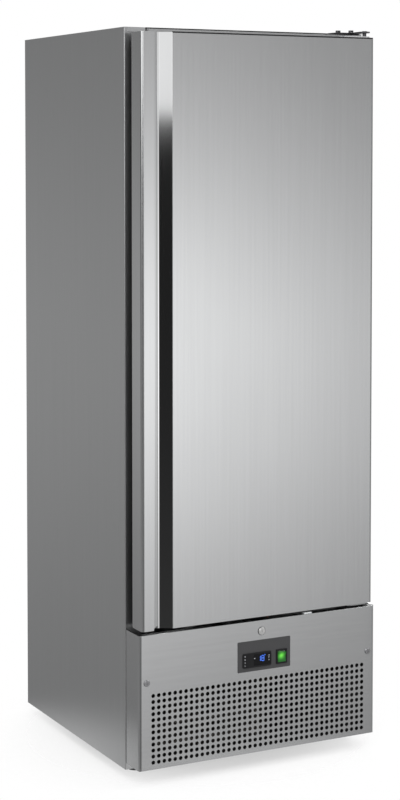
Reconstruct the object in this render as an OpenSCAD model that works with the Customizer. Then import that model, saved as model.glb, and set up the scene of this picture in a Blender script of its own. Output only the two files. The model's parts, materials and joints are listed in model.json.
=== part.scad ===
// Upright snack freezer cabinet: one full-height door with a folded handle, a perforated base
// panel with its controls, a foamed body with wire shelves, and a condensing unit below.
// Millimetres. X runs to the right, Y to the back and Z up. The origin is on the floor,
// under the middle of the cabinet.

/* [Cabinet] */
// Width of the carcass
cab_w = 680; // [650:10:760]
// Depth from the front of the door to the back of the carcass
cab_d = 710; // [660:10:800]
// Height of the carcass without its feet
cab_h = 1827; // [1600:1:2000]
// Clear height under the carcass
foot_h = 25; // [22:1:32]
// Thickness of the steel sheets
skin_t = 1; // [0.8:0.1:1.4]
// Outer radius of the bends in the steel sheets
bend_r = 2; // [1.5:0.5:2]
// Thickness of the foamed walls
wall_t = 60; // [55:1:70]
// Height of the machine compartment
machine_h = 350; // [330:5:390]
// Depth of the door and the base panel in front of the carcass
front_d = 75; // [72:1:85]

/* [Door] */
// Gap between the base panel and the door
door_gap = 9; // [8:0.5:14]
// Strip of the carcass that shows above the door
head_strip = 14; // [12:1:30]
// Strip of the carcass that shows beside the door
side_strip = 10; // [6:1:14]
// Depth of the door without its gasket
door_box_d = 55; // [50:1:57]
// Radius of the upright edges of the door and the base panel
edge_r = 8; // [4:1:12]
// Width of the gasket
gasket_w = 18; // [14:1:20]
// Distance of the gasket from the edge of the door
gasket_in = 16; // [15:1:20]
// How far the door can swing open, in degrees
door_swing = 110; // [90:5:120]

/* [Handle] */
// Width of the handle's wing
wing_w = 43; // [36:1:50]
// Width of the hem that stiffens the wing
hem_w = 10; // [6:1:14]
// Width of the opening between the wing and the door's face
grip_w = 41; // [35:1:50]
// Depth of the finger recess
grip_d = 38; // [32:1:42]
// Sideways slant of the recess wall
grip_slant = 60; // [24:1:66]
// Radius of the notch in the wing's lower corner
notch_r = 11; // [6:1:16]

/* [Hinges] */
// Diameter of the hinge pins
pin_d = 10; // [8:0.5:12]
// Distance of the pins from the door's right edge
pin_in_x = 14; // [12:0.5:15.5]
// Distance of the pins from the door's front
pin_in_y = 25; // [22:1:28]
// Thickness of the hinge plates
hinge_t = 3.5; // [3:0.5:6]
// Width of the hinge plates
hinge_w = 68; // [60:1:80]
// Diameter of the hinge bushes
bush_d = 18; // [16:0.5:20]
// Length of the hinge bushes
bush_l = 30; // [20:1:40]

/* [Base panel] */
// Height of the panel's lower edge above the carcass's lower edge
panel_lift = 16; // [10:1:22]
// Gap between the panel's side and the carcass's side
panel_inset = 2; // [1:0.5:4]
// Depth of the panel's upper and lower lips
lip_d = 18; // [12:1:20]
// Distance of the outermost vent holes from the panel's side
vent_in = 38; // [34:1:60]
// Number of rows of vent holes
vent_rows = 12; // [6:1:12]
// Distance between vent holes
vent_pitch = 15; // [14:0.25:15]
// Diameter of a vent hole
vent_d = 10; // [6:0.5:11]
// Distance of the lowest row from the panel's lower edge
vent_up = 18; // [14:1:22]
// Distance of the screws from the panel's side
screw_in = 20.5; // [18:0.5:24]
// Height of the screws above the panel's lower edge
screw_up = 216; // [206:1:230]
// Diameter of the screw heads
screw_head_d = 16; // [12:0.5:18]

/* [Controls] */
// Width of the control plate
plate_w = 151; // [145:1:160]
// Height of the control plate
plate_h = 77; // [70:1:80]
// Sideways place of the control plate's middle
plate_x = 10; // [-30:1:40]
// Distance of the control plate from the panel's upper edge
plate_down = 49; // [48:1:54]
// Width of the controller's bezel
unit_w = 82; // [78:1:86]
// Height of the controller's bezel
unit_h = 37; // [34:1:40]
// Distance of the controller from the plate's left edge
unit_in = 13; // [8:1:16]
// Height of the controller above the plate's lower edge
unit_up = 10; // [6:1:14]
// Width of the rocker switch's bezel
switch_w = 32; // [28:1:34]
// Height of the rocker switch's bezel
switch_h = 37; // [34:1:40]
// Distance of the switch from the plate's right edge
switch_in = 10; // [6:1:12]
// Tilt of the rocker between off and on, in degrees
rocker_swing = 12; // [8:1:14]
// Travel of a key
key_travel = 0.6; // [0.4:0.1:0.8]
// Sideways place of the lock
lock_x = 3; // [-20:1:30]
// Distance of the lock's middle from the panel's upper edge
lock_down = 27; // [25:0.5:30]
// Diameter of the lock's ring
lock_ring_d = 19; // [18:0.5:22]
// Diameter of the lock's plug
plug_d = 12; // [10:0.5:13]
// How far the lock's cam reaches into the door
cam_reach = 7; // [5:0.5:9]

/* [Inside] */
// Thickness of the inner liner
liner_t = 2; // [1.5:0.1:3]
// Radius of the liner's corners
liner_r = 14; // [8:1:20]
// Number of wire shelves
shelf_count = 4; // [2:1:4]
// Distance between shelves
shelf_pitch = 270; // [240:5:290]
// Height of the lowest shelf above the liner's floor
shelf_up = 90; // [60:5:120]
// Diameter of the shelf's frame rods
rod_d = 7; // [6:0.5:8]
// Diameter of the shelf's wires
wire_d = 4; // [3:0.5:5]
// Number of wires in a shelf
wire_count = 19; // [15:1:21]
// Height of the evaporator's cover
cover_h = 140; // [134:1:160]
// Diameter of the evaporator's fan
small_fan_d = 112; // [100:1:116]

/* [Machine compartment] */
// Diameter of the compressor's shell
pot_d = 170; // [150:5:185]
// Height of the compressor's shell
pot_h = 190; // [170:5:205]
// Width of the condenser
cond_w = 300; // [270:5:320]
// Height of the condenser
cond_h = 250; // [240:5:265]
// Diameter of the condenser's fan
fan_d = 200; // [180:5:215]
// Diameter of the levelling feet
foot_d = 40; // [34:1:46]
// How far the levelling feet screw down
foot_travel = 20; // [10:1:24]
// Diameter of the rear rollers
roller_d = 36; // [30:1:40]

/* [Hidden] */
$fn = 48;

// Bends have this many steps
bend_steps = 8;
// Play of a pin or a shaft in its hole, on the radius
run_gap = 0.05;
// Play between pieces on different bodies
move_gap = 0.4;
// Play of what lies in a bend
bend_gap = 0.2;

steel = [0.66, 0.67, 0.68];
polished = [0.78, 0.78, 0.79];
galvanised = [0.6, 0.62, 0.64];
black = [0.06, 0.06, 0.07];
plate_grey = [0.3, 0.3, 0.31];
white = [0.9, 0.91, 0.92];

front_y = -cab_d / 2;
carcass_y = front_y + front_d;
back_y = cab_d / 2;
half_w = cab_w / 2;
low_z = foot_h;
top_z = low_z + cab_h;
box_z = low_z + machine_h;

// The door's outer box, closed
door_x = half_w - side_strip;
door_back_y = front_y + door_box_d;
door_z = box_z + door_gap;
door_top = top_z - head_strip;
door_h = door_top - door_z;
door_return = 24;
grip_x = -door_x + wing_w + grip_w;
recess_y = front_y + grip_d;
channel_t = skin_t;
channel_flange = 20;
hem_gap = 1;

// The faces that the gasket closes on
land = gasket_w + 1;
stile_w = side_strip + gasket_in + land;
header_w = head_strip + gasket_in + land;
sill_w = door_gap + gasket_in + land;
rear_return = 20;

// The liner's inside
liner_x = half_w - wall_t;
liner_z = box_z + wall_t;
liner_top = top_z - wall_t;
liner_back = back_y - wall_t;
breaker_d = 18;
breaker_lap = 6;
liner_front = carcass_y + skin_t + breaker_d;
inside_h = liner_top - liner_z;

// The base panel
panel_x = half_w - panel_inset;
panel_z = low_z + panel_lift;
panel_h = box_z - panel_z;
panel_back = front_y + skin_t;
vent_columns = 1 + floor((2 * panel_x - 2 * vent_in) / vent_pitch);
vent_w = (vent_columns - 1) * vent_pitch;
screw_x = panel_x - screw_in;
screw_z = panel_z + screw_up;
screw_d = 5;

// The controls, all on the base panel's face
plate_t = 1.2;
plate_z = box_z - plate_down - plate_h;
plate_left = plate_x - plate_w / 2;
unit_x = plate_left + unit_in + unit_w / 2;
unit_z = plate_z + unit_up + unit_h / 2;
unit_front = front_y - plate_t;
bezel_t = 2.6;
unit_body_w = unit_w - 11;
unit_body_h = unit_h - 8;
unit_body_d = 50;
switch_x = plate_x + plate_w / 2 - switch_in - switch_w / 2;
switch_z = unit_z;
lens_w = 22;
lens_h = 27;
switch_d = 26;
rocker_r = 30;
rocker_proud = 0.6;
key_strip = 12;
key_w = 6;
key_h = 5.4;
key_count = 4;
key_pitch = (unit_h - 6) / key_count;
window_w = 48;
key_floor = unit_front - bezel_t + 1.8;
key_stem_d = 2;
lock_z = box_z - lock_down;
barrel_d = plug_d + 4;
lock_front = front_y - 2.2;
barrel_l = 22;
cam_t = 2;
cam_w = 12;
cam_l = door_z + cam_reach - lock_z;
cam_y = front_y + skin_t + barrel_l;

// The hinges
pin_x = door_x - pin_in_x;
pin_y = front_y + pin_in_y;
plate_gap = (door_gap - hinge_t) / 2;
bracket_z = box_z + plate_gap;
bracket_drop = 48;
flange_t = 4;
bush_plate_t = 5;
bush_plate_w = 84;
bolt_d = 8;
bolt_at = [[pin_x - 26, carcass_y + 36], [pin_x + 2, carcass_y + 18]];
hinge_back = 48;
bolt_bite = 14;
bolt_z = [bracket_z - 16, bracket_z - 37];
collar_t = plate_gap - move_gap;
pin_head = 1.5;
pin_bite = bush_l - 4;

// The shelves
upright_w = 22;
upright_d = 8;
slot_pitch = 30;
slot_h = 12;
slot_w = 4;
upright_y = [liner_front + 60, liner_back - 90];
upright_z = liner_z + 30;
upright_h = inside_h - cover_h - 70;
clip_l = 15;
clip_t = 3;
shelf_front = liner_front + 25;
shelf_back = liner_back - 35;
shelf_x = liner_x - upright_d - 3;

// The evaporator, hung from the liner's ceiling
cover_x = liner_x - 40;
cover_y = liner_front + 50;
cover_back = liner_back - 40;
cover_t = 2;
cover_z = liner_top - cover_h;
small_hub_d = 36;
small_fan_z = cover_z + cover_h / 2;
small_fan_y = cover_y + cover_t + 14;
coil_y = small_fan_y + 80;

// The condensing unit
tray_t = 2;
tray_z = low_z + skin_t + tray_t;
unit_base_t = 3;
deck_z = tray_z + unit_base_t;
cond_x = -half_w + 270;
cond_y = carcass_y + 45;
cond_d = 44;
fan_y = cond_y + cond_d + 40;
fan_z = deck_z + cond_h / 2;
hub_d = 46;
shaft_d = 6;
pot_x = half_w - 210;
pot_y = back_y - 190;
grommet_h = 12;
grommet_r = 11;
grommet_neck_r = 8;
grommet_step = 60;
pot_base = 150;
pot_base_t = 3;
relay_w = 56;
relay_out = 22;
relay_z = 60;
relay_h = 70;
riser_in = 60;
drier_x = 100;
drier_y = 150;
drier_z = 60;
drier_l = 90;
deck_past_x = 120;
deck_past_y = 100;
shroud_d = 56;
duct_ring = 10;
pot_z = deck_z + grommet_h;
stub_h = 12;
roller_w = 22;
axle_d = 8;
roller_x = half_w - 75;
roller_y = back_y - 60;
foot_x = half_w - 60;
foot_y = carcass_y + 70;
stem_d = 10;
socket_d = 20;
socket_h = 40;
foot_disc_h = 12;

function unit(v) = v / norm(v);
function left_of(v) = [-v[1], v[0]];
function reversed(list) = [for (i = [len(list) - 1:-1:0]) list[i]];

// Points of the arc of radius r that rounds the corner b between a and c
function bend(a, b, c, r) =
    let (u = unit(a - b), w = unit(c - b), half = acos(u * w) / 2,
         middle = b + unit(u + w) * r / sin(half),
         first = b + u * r / tan(half) - middle,
         last = b + w * r / tan(half) - middle,
         start = atan2(first[1], first[0]),
         raw = atan2(last[1], last[0]) - start,
         sweep = raw > 180 ? raw - 360 : raw < -180 ? raw + 360 : raw)
    [for (i = [0:bend_steps]) let (a = start + sweep * i / bend_steps)
        middle + r * [cos(a), sin(a)]];

// A path through corners [x, y, radius], with each corner rounded by its radius
function folded(corners) =
    [for (i = [0:len(corners) - 1])
        let (p = corners[i], at = [p[0], p[1]])
        each (p[2] == 0 ? [at] : bend([corners[i - 1][0], corners[i - 1][1]], at,
                                      [corners[i + 1][0], corners[i + 1][1]], p[2]))];

// The path moved sideways by d, to the left of its direction
function beside(path, d) =
    let (last = len(path) - 1)
    [for (i = [0:last])
        let (before = left_of(unit(path[max(i, 1)] - path[max(i, 1) - 1])),
             after = left_of(unit(path[min(i + 1, last)] - path[min(i, last - 1)])),
             mitre = unit(before + after))
        path[i] + mitre * d / (mitre * before)];

// A sheet of thickness t that follows a path, standing h high, with the path on its face
module sheet(path, t, h) {
    linear_extrude(height = h) polygon(concat(path, reversed(beside(path, t))));
}

// A flat shape in X and Z, given its thickness forwards from y
module facing(y, t) {
    translate([0, y, 0]) rotate([90, 0, 0]) linear_extrude(height = t) children();
}

module round_rect(w, h, r) {
    square([w - 2 * r, h], center = true);
    square([w, h - 2 * r], center = true);
    for (x = [-1, 1], y = [-1, 1])
        translate([x * (w / 2 - r), y * (h / 2 - r)]) circle(r);
}

// A cylinder that points to the front from y, and to the back with a negative length
module bar_y(x, y, z, d, l) {
    translate([x, y, z]) rotate([l > 0 ? 90 : -90, 0, 0]) cylinder(d = d, h = abs(l));
}

module bar_x(x, y, z, d, l) {
    translate([x, y, z]) rotate([0, 90, 0]) cylinder(d = d, h = l);
}

// The carcass

side_path = folded([
    [-half_w + stile_w, carcass_y, 0], [-half_w, carcass_y, bend_r],
    [-half_w, back_y, bend_r], [-half_w + rear_return, back_y, 0]
]);

module side_sheet() {
    color(steel) difference() {
        translate([0, 0, low_z]) {
            linear_extrude(height = cab_h - skin_t)
                polygon(concat(side_path, reversed(beside(side_path, -skin_t))));
            linear_extrude(height = skin_t) polygon(side_path);
        }
        for (z = bolt_z) bar_y(-screw_x, carcass_y + 5, z, bolt_d + 2 * run_gap, 10);
    }
}

module side_panel_left() { side_sheet(); }

module side_panel_right() { mirror([1, 0, 0]) side_sheet(); }

// One folded sheet, notched at the corners where the side panels' returns stand
module top_panel() {
    fold = folded([
        [carcass_y, top_z - header_w, 0], [carcass_y, top_z, bend_r],
        [back_y, top_z, bend_r], [back_y, top_z - rear_return, 0]
    ]);
    color(steel) difference() {
        translate([-half_w, 0, 0]) rotate([90, 0, 90])
            linear_extrude(height = cab_w)
                polygon(concat(fold, reversed(beside(fold, -skin_t))));
        for (x = [-half_w - 1, half_w - stile_w])
            translate([x, carcass_y - 1, top_z - header_w - 1])
                cube([stile_w + 1, bend_r + 1, header_w - skin_t + 1]);
        for (x = [-half_w - 1, half_w - rear_return])
            translate([x, back_y - bend_r, top_z - rear_return - 1])
                cube([rear_return + 1, bend_r + 1, rear_return - skin_t + 1]);
        for (at = bolt_at) translate([at.x, at.y, top_z - 5])
            cylinder(d = bolt_d + 2 * run_gap, h = 10);
    }
}

module back_panel() {
    color(galvanised)
        translate([-half_w + bend_r + bend_gap, back_y - 2 * skin_t, box_z])
            cube([cab_w - 2 * (bend_r + bend_gap), skin_t, cab_h - machine_h - bend_r - bend_gap]);
}

// The rear cover of the machine compartment, with slots and the hole for the cord's gland
gland_x = half_w - 90;
gland_z = low_z + 70;
gland_d = 20;
gland_bore = 9;
slot_l = 70;
cover_y1 = back_y - skin_t;
module rear_vent_cover() {
    color(galvanised) facing(cover_y1, skin_t) difference() {
        translate([0, (low_z + skin_t + box_z) / 2])
            square([cab_w - 2 * (bend_r + bend_gap), machine_h - skin_t], center = true);
        for (x = [-2.5:1:1.5], z = [0:6])
            translate([x * (slot_l + 18), low_z + 110 + z * 28]) round_rect(slot_l + 8, 8, 3.9);
        translate([gland_x, gland_z]) circle(d = gland_d);
    }
}

module cord_gland() {
    color(black) difference() {
        union() {
            bar_y(gland_x, cover_y1, gland_z, gland_d + 8, -4);
            bar_y(gland_x, cover_y1, gland_z, gland_d, -9);
            bar_y(gland_x, cover_y1, gland_z, gland_d, skin_t);
            bar_y(gland_x, cover_y1 - skin_t, gland_z, gland_d + 6, 4);
        }
        bar_y(gland_x, cover_y1 + 10, gland_z, gland_bore, 20);
    }
}

// The underside of the foamed box, turned up in front as the sill
module floor_skin() {
    fold = folded([
        [carcass_y, box_z + sill_w, 0], [carcass_y, box_z, bend_r], [back_y - 2 * skin_t, box_z, 0]
    ]);
    color(steel) difference() {
        translate([-half_w + skin_t, 0, 0]) rotate([90, 0, 90])
            linear_extrude(height = cab_w - 2 * skin_t)
                polygon(concat(fold, reversed(beside(fold, skin_t))));
        for (x = [-half_w, half_w - stile_w])
            translate([x, carcass_y - 1, box_z - 1]) cube([stile_w, bend_r + 1, sill_w + 2]);
    }
}

// A block round the liner's axis, from y0 to y1, that stands out from the liner by grow
module liner_block(y0, y1, grow) {
    facing(y1, y1 - y0) translate([0, (liner_z + liner_top) / 2])
        round_rect(2 * (liner_x + grow), inside_h + 2 * grow, liner_r + grow);
}

// The breaker strip's outer edge behind the carcass's front returns
module breaker_block(y0, y1, grow) {
    low = box_z + sill_w - grow;
    high = top_z - header_w + grow;
    facing(y1, y1 - y0) translate([0, (low + high) / 2])
        round_rect(2 * (half_w - stile_w + grow), high - low, liner_r);
}

// The space between the carcass's sheets, whose edges follow the insides of the bends
module foam_block() {
    r = bend_r - skin_t + bend_gap;
    w = cab_w - 2 * skin_t;
    d = cab_d - front_d - 3 * skin_t;
    h = cab_h - machine_h - 2 * skin_t;
    translate([0, carcass_y + skin_t + d / 2, box_z + skin_t + h / 2]) intersection() {
        translate([0, 0, -h / 2]) linear_extrude(height = h) round_rect(w, d, r);
        rotate([90, 0, 90]) translate([0, 0, -w / 2]) linear_extrude(height = w) round_rect(d, h, r);
    }
}

module insulation() {
    color([0.93, 0.88, 0.7]) difference() {
        foam_block();
        breaker_block(carcass_y, liner_front, breaker_lap);
        liner_block(carcass_y, liner_back + liner_t, liner_t);
        for (at = bolt_at) translate([at.x, at.y, top_z - bolt_bite])
            cylinder(d = bolt_d + 1, h = bolt_bite);
    }
}

module liner() {
    color(white) difference() {
        liner_block(liner_front, liner_back + liner_t, liner_t);
        liner_block(liner_front - 1, liner_back, 0);
    }
}

// The plastic frame that carries the cold liner in the steel front
module breaker_strip() {
    color([0.75, 0.77, 0.78]) difference() {
        breaker_block(carcass_y + skin_t, liner_front, breaker_lap);
        breaker_block(carcass_y, liner_front - breaker_d / 2, -0.5);
        liner_block(carcass_y, liner_front + 1, 0);
    }
}

// The base tray closes the machine compartment from below and carries feet and rollers
module base_tray() {
    lip = 22;
    fold = [
        [carcass_y + 2 + skin_t, tray_z + lip], [carcass_y + 2 + skin_t, low_z + skin_t],
        [back_y - 2 * skin_t, low_z + skin_t], [back_y - 2 * skin_t, tray_z + lip]
    ];
    color(galvanised) {
        difference() {
            translate([-half_w + skin_t, 0, 0]) rotate([90, 0, 90])
                linear_extrude(height = cab_w - 2 * skin_t)
                    polygon(concat(fold, reversed(beside(fold, tray_t))));
            for (s = [-1, 1]) {
                translate([s * roller_x, roller_y, low_z + tray_t])
                    cube([roller_w + 12, roller_d + 10, 12], center = true);
                translate([s * foot_x, foot_y, low_z - 1]) cylinder(d = stem_d + 2, h = 8);
            }
        }
        for (s = [-1, 1]) {
            translate([s * foot_x, foot_y, tray_z - 0.5]) difference() {
                cylinder(d = socket_d, h = socket_h);
                translate([0, 0, -1]) cylinder(d = stem_d + 2 * run_gap, h = socket_h + 2);
            }
            translate([s * roller_x, roller_y, 0]) roller_bracket();
        }
    }
}

// Two cheeks and an axle that hold a roller up in the tray's cut-out
module roller_bracket() {
    cheek_t = 2.5;
    cheek_h = 40;
    cheek_w = roller_d + 4;
    inner = roller_w / 2 + 1;
    for (s = [-1, 1])
        translate([s * (inner + cheek_t / 2), 0, roller_d / 2 - 8 + cheek_h / 2])
            cube([cheek_t, cheek_w, cheek_h], center = true);
    translate([-inner - cheek_t, -cheek_w / 2, roller_d / 2 - 8 + cheek_h])
        cube([2 * (inner + cheek_t), cheek_w, cheek_t]);
    for (s = [-1, 1])
        translate([s * (inner + cheek_t + 8), 0, tray_z + 1.5])
            cube([16 + 2 * cheek_t, cheek_w, 3], center = true);
    bar_x(-inner - cheek_t - 1, 0, roller_d / 2, axle_d, 2 * (inner + cheek_t + 1));
}

// The base panel

panel_path = folded([
    [-panel_x, carcass_y, 0], [-panel_x, front_y, edge_r],
    [panel_x, front_y, edge_r], [panel_x, carcass_y, 0]
]);
lip_path = folded([
    [-panel_x, front_y + lip_d, 0], [-panel_x, front_y, edge_r],
    [panel_x, front_y, edge_r], [panel_x, front_y + lip_d, 0]
]);

// The grid of vent holes, as a flat shape
module vent_grid() {
    for (column = [0:vent_columns - 1], row = [0:vent_rows - 1])
        translate([column * vent_pitch - vent_w / 2, panel_z + vent_up + row * vent_pitch])
            circle(d = vent_d, $fn = 24);
}

module base_panel() {
    color(steel) difference() {
        union() {
            translate([0, 0, panel_z]) sheet(panel_path, skin_t, panel_h);
            for (z = [panel_z, box_z - skin_t])
                translate([0, 0, z]) linear_extrude(height = skin_t) polygon(lip_path);
        }
        facing(panel_back + 1, skin_t + 2) {
            vent_grid();
            for (s = [-1, 1]) translate([s * screw_x, screw_z]) circle(d = screw_d + 1);
            translate([lock_x, lock_z]) circle(d = barrel_d + 2 * run_gap);
            translate([unit_x, unit_z]) square([unit_body_w + 1, unit_body_h + 1], center = true);
            translate([switch_x, switch_z]) square([switch_w - 3, switch_h - 3], center = true);
        }
    }
}

// Channels that stand between the carcass's stiles and the panel, and take its screws
module panel_brackets() {
    inner = half_w - stile_w + 1;
    reach = panel_x - edge_r - 1 - inner;
    bracket_h = 30;
    path = [
        [inner + reach, carcass_y], [inner, carcass_y], [inner, panel_back], [inner + reach, panel_back]
    ];
    color(galvanised) for (side = [0, 1]) mirror([side, 0, 0]) difference() {
        translate([0, 0, screw_z - bracket_h / 2]) sheet(path, 2, bracket_h);
        bar_y(screw_x, panel_back + 4, screw_z, screw_d + 2 * run_gap, 6);
    }
}

module panel_screws() {
    head_t = 2.4;
    color([0.5, 0.5, 0.51]) for (s = [-1, 1]) difference() {
        union() {
            translate([s * screw_x, front_y, screw_z]) rotate([90, 0, 0]) rotate_extrude()
                polygon([[0, 0], [screw_head_d / 2, 0], [screw_head_d / 2, 0.8],
                         [screw_head_d / 2 - 2, head_t], [0, head_t]]);
            bar_y(s * screw_x, front_y, screw_z, screw_d, -9);
        }
        for (a = [0, 90]) translate([s * screw_x, front_y - head_t, screw_z]) rotate([0, a, 0])
            cube([7, 2.4, 1.4], center = true);
    }
}

// The controls

module control_plate() {
    color(plate_grey) facing(front_y, plate_t) difference() {
        translate([plate_x, plate_z + plate_h / 2]) round_rect(plate_w, plate_h, 2);
        translate([unit_x, unit_z]) square([unit_body_w + 1, unit_body_h + 1], center = true);
        translate([switch_x, switch_z]) square([switch_w - 3, switch_h - 3], center = true);
    }
}

key_x = unit_x - unit_w / 2 + 3 + key_w / 2;
function key_z(i) = unit_z + (i - (key_count - 1) / 2) * key_pitch;

// The controller: a bezel on the plate and a body through it, with wells for its keys
module controller_case() {
    color(black) difference() {
        union() {
            facing(unit_front, bezel_t) translate([unit_x, unit_z]) round_rect(unit_w, unit_h, 4);
            facing(unit_front + unit_body_d, unit_body_d) translate([unit_x, unit_z])
                square([unit_body_w, unit_body_h], center = true);
        }
        facing(unit_front - bezel_t + 1, 2) translate([unit_x + key_strip / 2 + 8, unit_z])
            round_rect(window_w, unit_h - 8, 2);
        for (i = [0:key_count - 1])
            facing(key_floor, 3) translate([key_x, key_z(i)])
                round_rect(key_w + 2 * move_gap, key_h + 2 * move_gap, 1.4);
        for (i = [0:key_count - 1])
            bar_y(key_x, key_floor + 6, key_z(i), key_stem_d + 2 * run_gap, 7);
    }
}

module display_window() {
    color([0.02, 0.02, 0.03]) facing(unit_front - bezel_t + 1, 1.2)
        translate([unit_x + key_strip / 2 + 8, unit_z]) round_rect(window_w, unit_h - 8, 2);
}

module controller_key(i) {
    color([0.12, 0.12, 0.13]) {
        facing(key_floor - key_travel - 0.2, 1.4)
            translate([key_x, key_z(i)]) round_rect(key_w, key_h, 1.2);
        bar_y(key_x, key_floor - key_travel - 0.5, key_z(i), key_stem_d, -5);
    }
}

module controller_key_1() { controller_key(0); }
module controller_key_2() { controller_key(1); }
module controller_key_3() { controller_key(2); }
module controller_key_4() { controller_key(3); }

// The rocker's frame, open behind the rocker, with the bearing holes of its axle
switch_front = front_y - plate_t - 2.2;
rocker_y = switch_front + 8;
module switch_bezel() {
    wall_in = 0.6;
    color(black) difference() {
        union() {
            facing(front_y - plate_t, front_y - plate_t - switch_front)
                translate([switch_x, switch_z]) round_rect(switch_w, switch_h, 2);
            facing(switch_front + switch_d, switch_d) translate([switch_x, switch_z])
                square([switch_w - 4, switch_h - 4], center = true);
        }
        facing(switch_front + switch_d - 3, switch_d) translate([switch_x, switch_z])
            square([lens_w + 2 * wall_in, lens_h + 2 * wall_in], center = true);
        bar_x(switch_x - lens_w / 2 - 2.5, rocker_y, switch_z, 4 + 2 * run_gap, lens_w + 5);
    }
}

// The rocker: a lens whose face has two flats, tipped so that its lower half is pressed in
module switch_rocker() {
    half = lens_h / 2 - 0.6;
    proud = rocker_y - switch_front + rocker_proud;
    tilt = rocker_swing / 2;
    profile = [
        [-proud, 0], [-proud - half * sin(2 * tilt), half], [4, half - 1.4], [6, 4],
        [6, -4], [4, -half + 1.4], [-proud - half * sin(2 * tilt), -half]
    ];
    color([0.15, 0.75, 0.25]) translate([switch_x, rocker_y, switch_z]) {
        rotate([tilt, 0, 0]) translate([-lens_w / 2, 0, 0]) rotate([90, 0, 90])
            linear_extrude(height = lens_w) polygon(profile);
        translate([-lens_w / 2 - 1.8, 0, 0]) rotate([0, 90, 0]) cylinder(d = 4, h = lens_w + 3.6);
    }
}

// The lock: a ringed barrel through the panel with a bore for its plug
module lock_body() {
    color(polished) difference() {
        union() {
            bar_y(lock_x, front_y, lock_z, lock_ring_d, front_y - lock_front);
            bar_y(lock_x, front_y, lock_z, barrel_d, -(cam_y - front_y - 0.3));
            translate([lock_x, panel_back, lock_z]) rotate([-90, 0, 0])
                cylinder(d = barrel_d + 8, h = 3, $fn = 6);
        }
        bar_y(lock_x, cam_y + 1, lock_z, plug_d + 2 * run_gap, cam_y - lock_front + 2);
    }
}

module lock_plug() {
    color(polished) difference() {
        bar_y(lock_x, lock_front - 0.4, lock_z, plug_d, -(cam_y - lock_front + 0.4));
        facing(lock_front + 8, 10) translate([lock_x, lock_z]) square([1.8, 7.5], center = true);
    }
}

module lock_cam() {
    color(galvanised) {
        facing(cam_y + cam_t, cam_t) {
            translate([lock_x, lock_z]) circle(d = cam_w + 6);
            translate([lock_x, lock_z - cam_w / 2]) square([cam_l, cam_w]);
        }
        translate([lock_x, cam_y + cam_t - 0.5, lock_z]) rotate([-90, 0, 0])
            cylinder(d = 9, h = 3.5, $fn = 6);
    }
}

// The keep in the door's underside, open below, where the cam swings up
keep_t = 1;
keep_d = 12;
keep_x0 = lock_x - cam_w / 2 - 4;
keep_x1 = lock_x + cam_l * cos(asin((door_z - lock_z) / cam_l)) + cam_w;
keep_y0 = cam_y - 4;
keep_y1 = cam_y + cam_t + 4;
module lock_keep() {
    color(galvanised) translate([0, 0, door_z + skin_t]) difference() {
        translate([keep_x0 - keep_t, keep_y0 - keep_t, 0])
            cube([keep_x1 - keep_x0 + 2 * keep_t, keep_y1 - keep_y0 + 2 * keep_t, keep_d + keep_t]);
        translate([keep_x0, keep_y0, -1]) cube([keep_x1 - keep_x0, keep_y1 - keep_y0, keep_d + 1]);
    }
}

// The hinges

// A plate seen from above: square behind, rounded round the pin in front
module hinge_outline(y0, x0) {
    difference() {
        union() {
            translate([x0, pin_y]) square([pin_x - x0, y0 - pin_y]);
            translate([pin_x - 0.01, pin_y]) square([door_x - pin_x, y0 - pin_y]);
            translate([pin_x, pin_y]) circle(r = pin_in_x);
            translate([x0 + pin_in_x, pin_y]) circle(r = pin_in_x);
            translate([x0 + pin_in_x, pin_y - pin_in_x]) square([pin_x - x0 - pin_in_x, pin_in_x]);
        }
        translate([pin_x, pin_y]) circle(d = pin_d);
    }
}

// A plate on the roof with a round-ended arm out to the pin
module top_hinge_plate() {
    color(galvanised) translate([0, 0, top_z]) difference() {
        linear_extrude(height = hinge_t) difference() {
            union() {
                translate([door_x - hinge_w, carcass_y]) square([hinge_w, hinge_back]);
                translate([pin_x - pin_in_x, pin_y])
                    square([2 * pin_in_x, carcass_y - pin_y + 1]);
                translate([pin_x, pin_y]) circle(r = pin_in_x);
            }
            translate([pin_x, pin_y]) circle(d = pin_d);
        }
        for (at = bolt_at) translate([at.x, at.y, -1])
            cylinder(d = bolt_d + 2 * run_gap, h = hinge_t + 2);
    }
}

// A hex bolt on its washer, pointing down, with its washer's underside at z = 0
module hex_bolt(length) {
    cylinder(d = 18, h = 1.6);
    translate([0, 0, 1.6]) cylinder(d = 14.6, h = 5.5, $fn = 6);
    translate([0, 0, -length]) cylinder(d = bolt_d, h = length + 1);
}

module hinge_bolts() {
    color(polished) {
        for (at = bolt_at) translate([at.x, at.y, top_z + hinge_t])
            hex_bolt(hinge_t + bolt_bite - 2);
        for (z = bolt_z) translate([screw_x, carcass_y - flange_t, z]) rotate([90, 0, 0])
            hex_bolt(flange_t + 8);
    }
}

// The upper pin hangs in the hinge plate by its head, the lower one stands on its collar
module hinge_pins() {
    color(polished) translate([pin_x, pin_y, 0]) {
        translate([0, 0, door_top - pin_bite])
            cylinder(d = pin_d, h = top_z + hinge_t - door_top + pin_bite + 0.01);
        translate([0, 0, top_z + hinge_t]) cylinder(d = pin_d + 3, h = pin_head);
        translate([0, 0, bracket_z]) cylinder(d = pin_d, h = door_z - bracket_z + pin_bite);
        translate([0, 0, bracket_z + hinge_t]) cylinder(d = pin_d + 5, h = collar_t);
    }
}

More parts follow.
